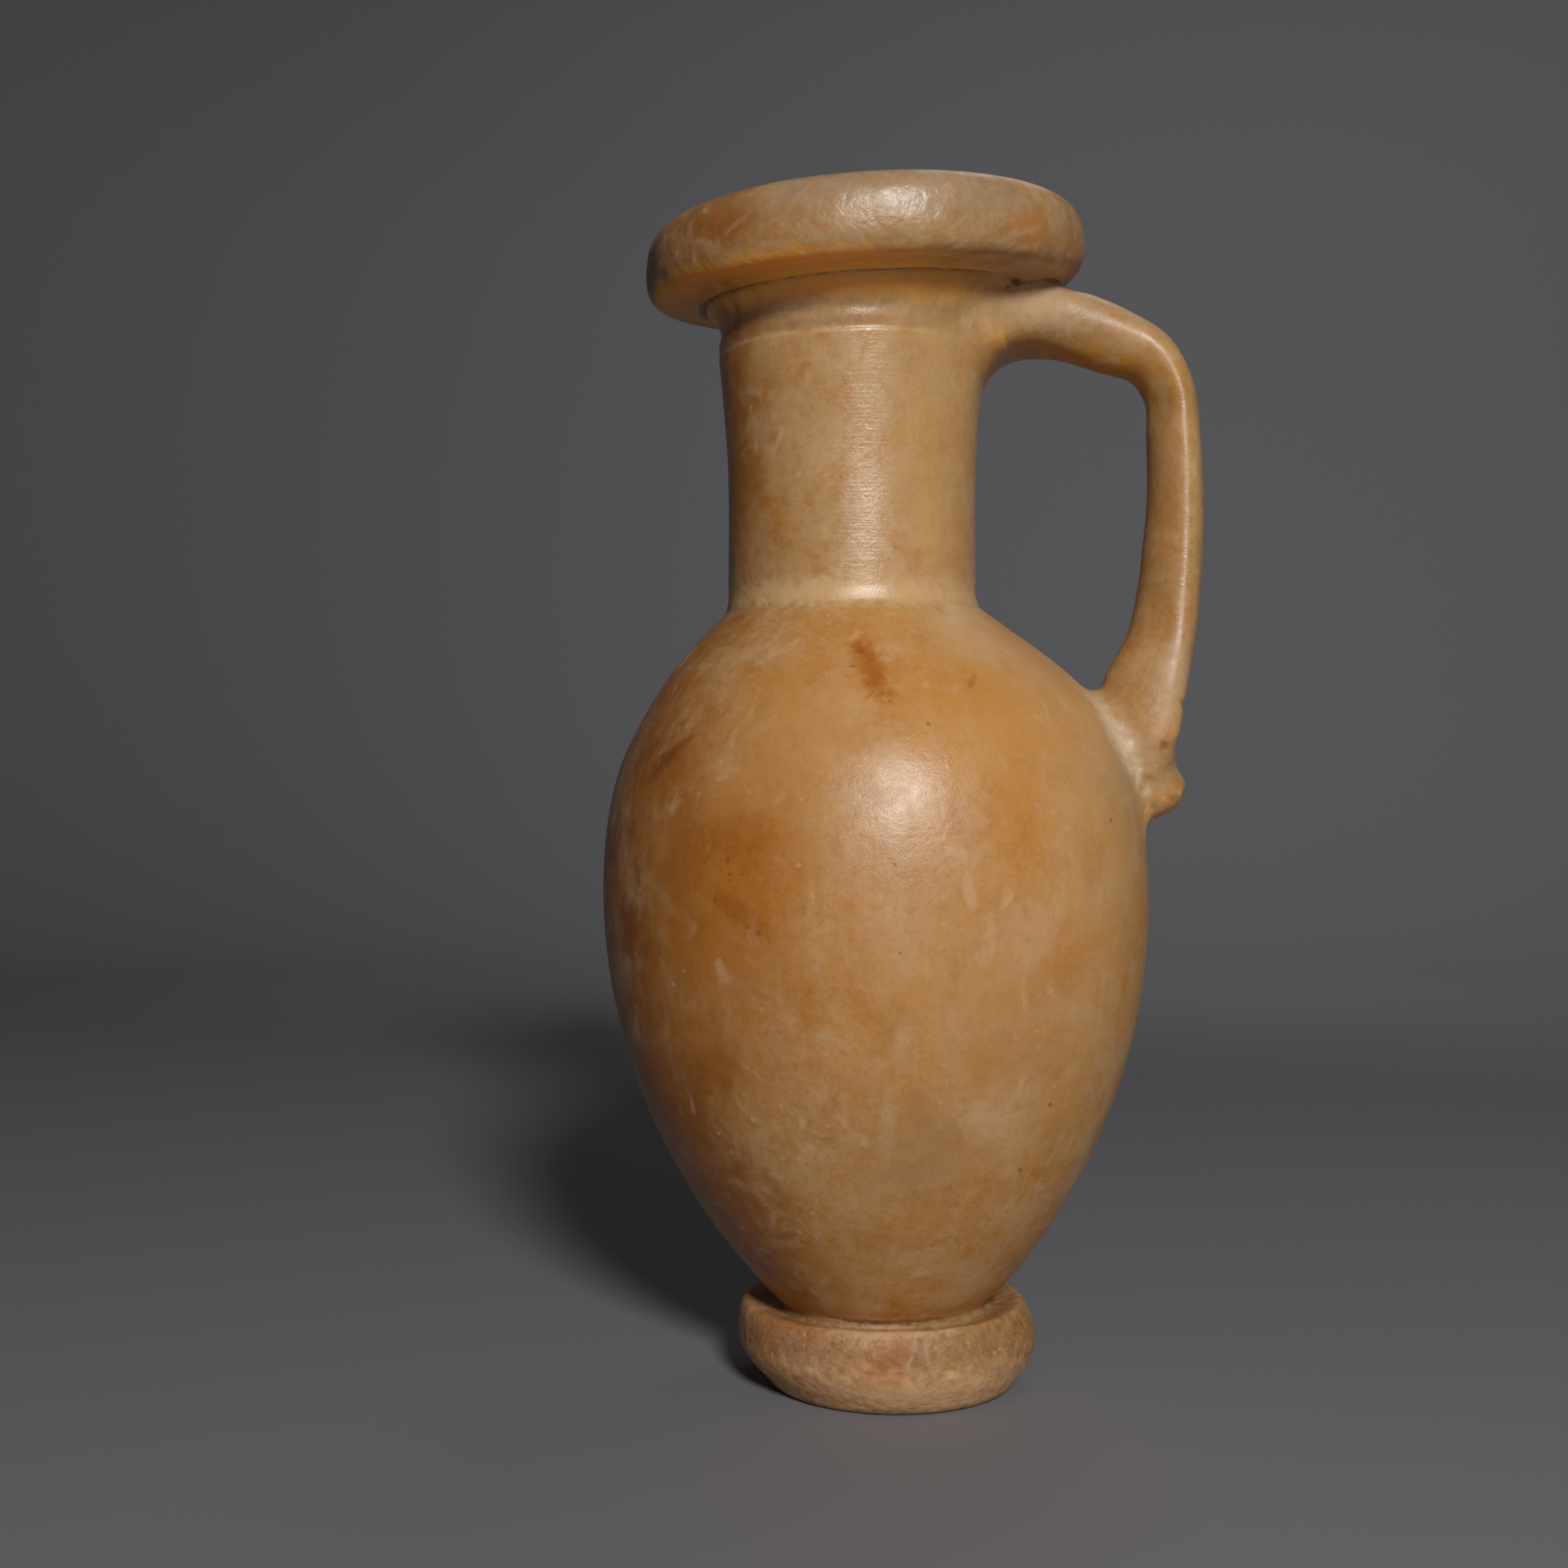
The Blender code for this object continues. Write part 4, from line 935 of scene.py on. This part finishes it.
# Honey alabaster: the noise layers and masks are made once and shared by colour, polish and bump.
def alabasterMaterial(s):
    material = bpy.data.materials.new("honeyAlabaster")
    material.use_nodes = True
    tree = material.node_tree
    shader = tree.nodes["Principled BSDF"]
    source = addNode(tree, "ShaderNodeTexCoord").outputs["Object"]
    place = addNode(tree, "ShaderNodeMapping", {"Vector": source, "Scale": (1.0 / mm,) * 3}).outputs[0]
    masks = {name: addNode(tree, "ShaderNodeAttribute", attribute_name=name).outputs["Fac"]
             for name in ("wear", "hollow", "line", "onHandle", "onLip", "side", "height")}
    noise = {name: cloud(tree, place, **pattern) for name, pattern in patterns.items()}
    noise["small"] = window(tree, noise["middle"], 0.38, 0.66)
    noise["dots"] = dotCells(tree, place, noise["fine"], **smallDots)
    shred = cloud(tree, place, **shreds)
    dabs = plus(tree, shred, dotCells(tree, place, noise["fine"], **wideDots))
    noise["dabs"] = times(tree, dabs, noise["area"])
    noise["torn"] = tornRims(tree, noise, rims)
    torn = calculate(tree, "SUBTRACT", noise["fine"], 0.5)
    masks["line"] = times(tree, masks["line"], window(tree, noise["fine"], 0.30, 0.55))
    masks["scuffed"] = window(tree, plus(tree, masks["wear"], torn), 0.45, 1.05)
    masks["dirty"] = window(tree, plus(tree, masks["hollow"], torn), 0.40, 0.95)
    tree.links.new(stoneColour(tree, place, s, noise, masks), shader.inputs["Base Color"])

    onNeck = window(tree, masks["height"], *zones["polishedNeck"])
    tree.links.new(stonePolish(tree, place, s, noise, masks, onNeck), shader.inputs["Roughness"])
    shader.inputs["Subsurface Weight"].default_value = s["translucency"]
    shader.inputs["Subsurface Radius"].default_value = s["scatter"]
    shader.inputs["Subsurface Scale"].default_value = s["depth"]
    shader.inputs["IOR"].default_value = s["refraction"]
    relief = stoneRelief(tree, place, s, noise, masks, onNeck)
    bump = addNode(tree, "ShaderNodeBump", {"Strength": s["bumpStrength"], "Distance": s["bumpDepth"],
                                            "Height": relief})
    tree.links.new(bump.outputs[0], shader.inputs["Normal"])
    return material


points, triangles, masks = pitcherMesh()
pitcher = stoneObject("alabaster_pitcher", points, triangles, alabasterMaterial(stone))
for name, values in masks.items():
    attribute = pitcher.data.attributes.new(name, "FLOAT", "POINT")
    attribute.data.foreach_set("value", values.astype(np.float32))
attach(pitcher, "root")
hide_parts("pitcher")
print("the stone has its finish")


studio = dict(
    # lengths in metres
    floorRadius=0.95, sweep=0.65, wallHeight=3.2, firstRing=0.02, floorRings=24, sweepRings=40, sides=96,
    floorColour=(0.23, 0.225, 0.235, 1.0), floorRoughness=0.8,
    # each light: degrees right of the front, degrees up, distance, size, and power in watts
    key=(10.5, 24.5, 1.3, 0.24, 12.6), back=(155.0, 50.0, 1.3, 0.5, 0.8), wall=(-20.0, 25.0, 0.9, 0.6, 1.3),
    lightAim=(0.0, 0.0, 0.13), wallAim=(0.45, 1.5, 0.30),
    fillColour=(1.0, 0.97, 0.93, 1.0), fillStrength=0.004,
)


# Round stage: a flat disc whose edge sweeps up a quarter circle into a wall.
def stageSurface(s):
    arc = np.linspace(-pi / 2, 0.0, s["sweepRings"])[1:]
    flat = np.linspace(s["firstRing"], s["floorRadius"], s["floorRings"])
    wall = s["floorRadius"] + s["sweep"]
    r = np.concatenate([flat, s["floorRadius"] + s["sweep"] * np.cos(arc), [wall]])[:, None]
    z = np.concatenate([0.0 * flat, s["sweep"] + s["sweep"] * np.sin(arc), [s["wallHeight"]]])[:, None]
    angle = np.linspace(0.0, 2 * pi, s["sides"], endpoint=False)
    return np.stack([r * np.cos(angle), r * np.sin(angle), z + 0.0 * angle], -1)


# The floor's mesh: the rings joined, and a fan to the point in the middle but none at the wall's top.
def buildStage(s):
    grid = stageSurface(s)
    rings, sides = grid.shape[:2]
    triangles = gridTriangles(rings, sides)
    triangles = triangles[(triangles < rings * sides + 1).all(axis=1)]
    points = np.vstack([grid.reshape(-1, 3), [[0.0, 0.0, 0.0]]])
    mesh = bpy.data.meshes.new("floor")
    mesh.from_pydata(points.tolist(), [], triangles.tolist())
    mesh.shade_smooth()
    floor = bpy.data.objects.new("floor", mesh)
    bpy.context.scene.collection.objects.link(floor)
    material = bpy.data.materials.new("paleFloor")
    material.use_nodes = True
    shader = material.node_tree.nodes["Principled BSDF"]
    shader.inputs["Base Color"].default_value = s["floorColour"]
    shader.inputs["Roughness"].default_value = s["floorRoughness"]
    mesh.materials.append(material)


# A round light that shines on its aim from turn degrees right of the front and rise degrees up.
def softBox(name, aim, turn, rise, distance, size, power):
    light = bpy.data.lights.new(name, "AREA")
    light.shape = "DISK"
    light.size = size
    light.energy = power
    box = bpy.data.objects.new(name, light)
    bpy.context.scene.collection.objects.link(box)
    t, e = radians(turn), radians(rise)
    offset = Vector((sin(t) * cos(e), -cos(t) * cos(e), sin(e))) * distance
    box.location = Vector(aim) + offset
    box.rotation_euler = (-offset).to_track_quat("-Z", "Y").to_euler()
    box.visible_camera = False


# Key light on the front, a weak one behind, one on the wall, and a faint glow from all round.
def buildLight(s):
    softBox("keyLight", s["lightAim"], *s["key"])
    softBox("backLight", s["lightAim"], *s["back"])
    softBox("wallLight", s["wallAim"], *s["wall"])
    world = bpy.data.worlds.new("studio")
    world.use_nodes = True
    background = world.node_tree.nodes["Background"]
    background.inputs["Color"].default_value = s["fillColour"]
    background.inputs["Strength"].default_value = s["fillStrength"]
    bpy.context.scene.world = world
    bpy.context.scene.view_settings.view_transform = "Standard"


view = dict(place=(-0.02108, -0.425, 0.1275), lookDown=0.367, lens=46.58, sensor=36.0, nearest=0.01)


# Camera close in front, level but for a slight look down.
def buildCamera(v):
    data = bpy.data.cameras.new("camera")
    data.sensor_width = v["sensor"]
    data.lens = v["lens"]
    data.clip_start = v["nearest"]
    camera = bpy.data.objects.new("camera", data)
    bpy.context.scene.collection.objects.link(camera)
    camera.location = v["place"]
    camera.rotation_euler = (radians(90.0 - v["lookDown"]), 0.0, 0.0)
    bpy.context.scene.camera = camera


buildStage(studio)
buildLight(studio)
buildCamera(view)
print("stage, light and camera are in place")
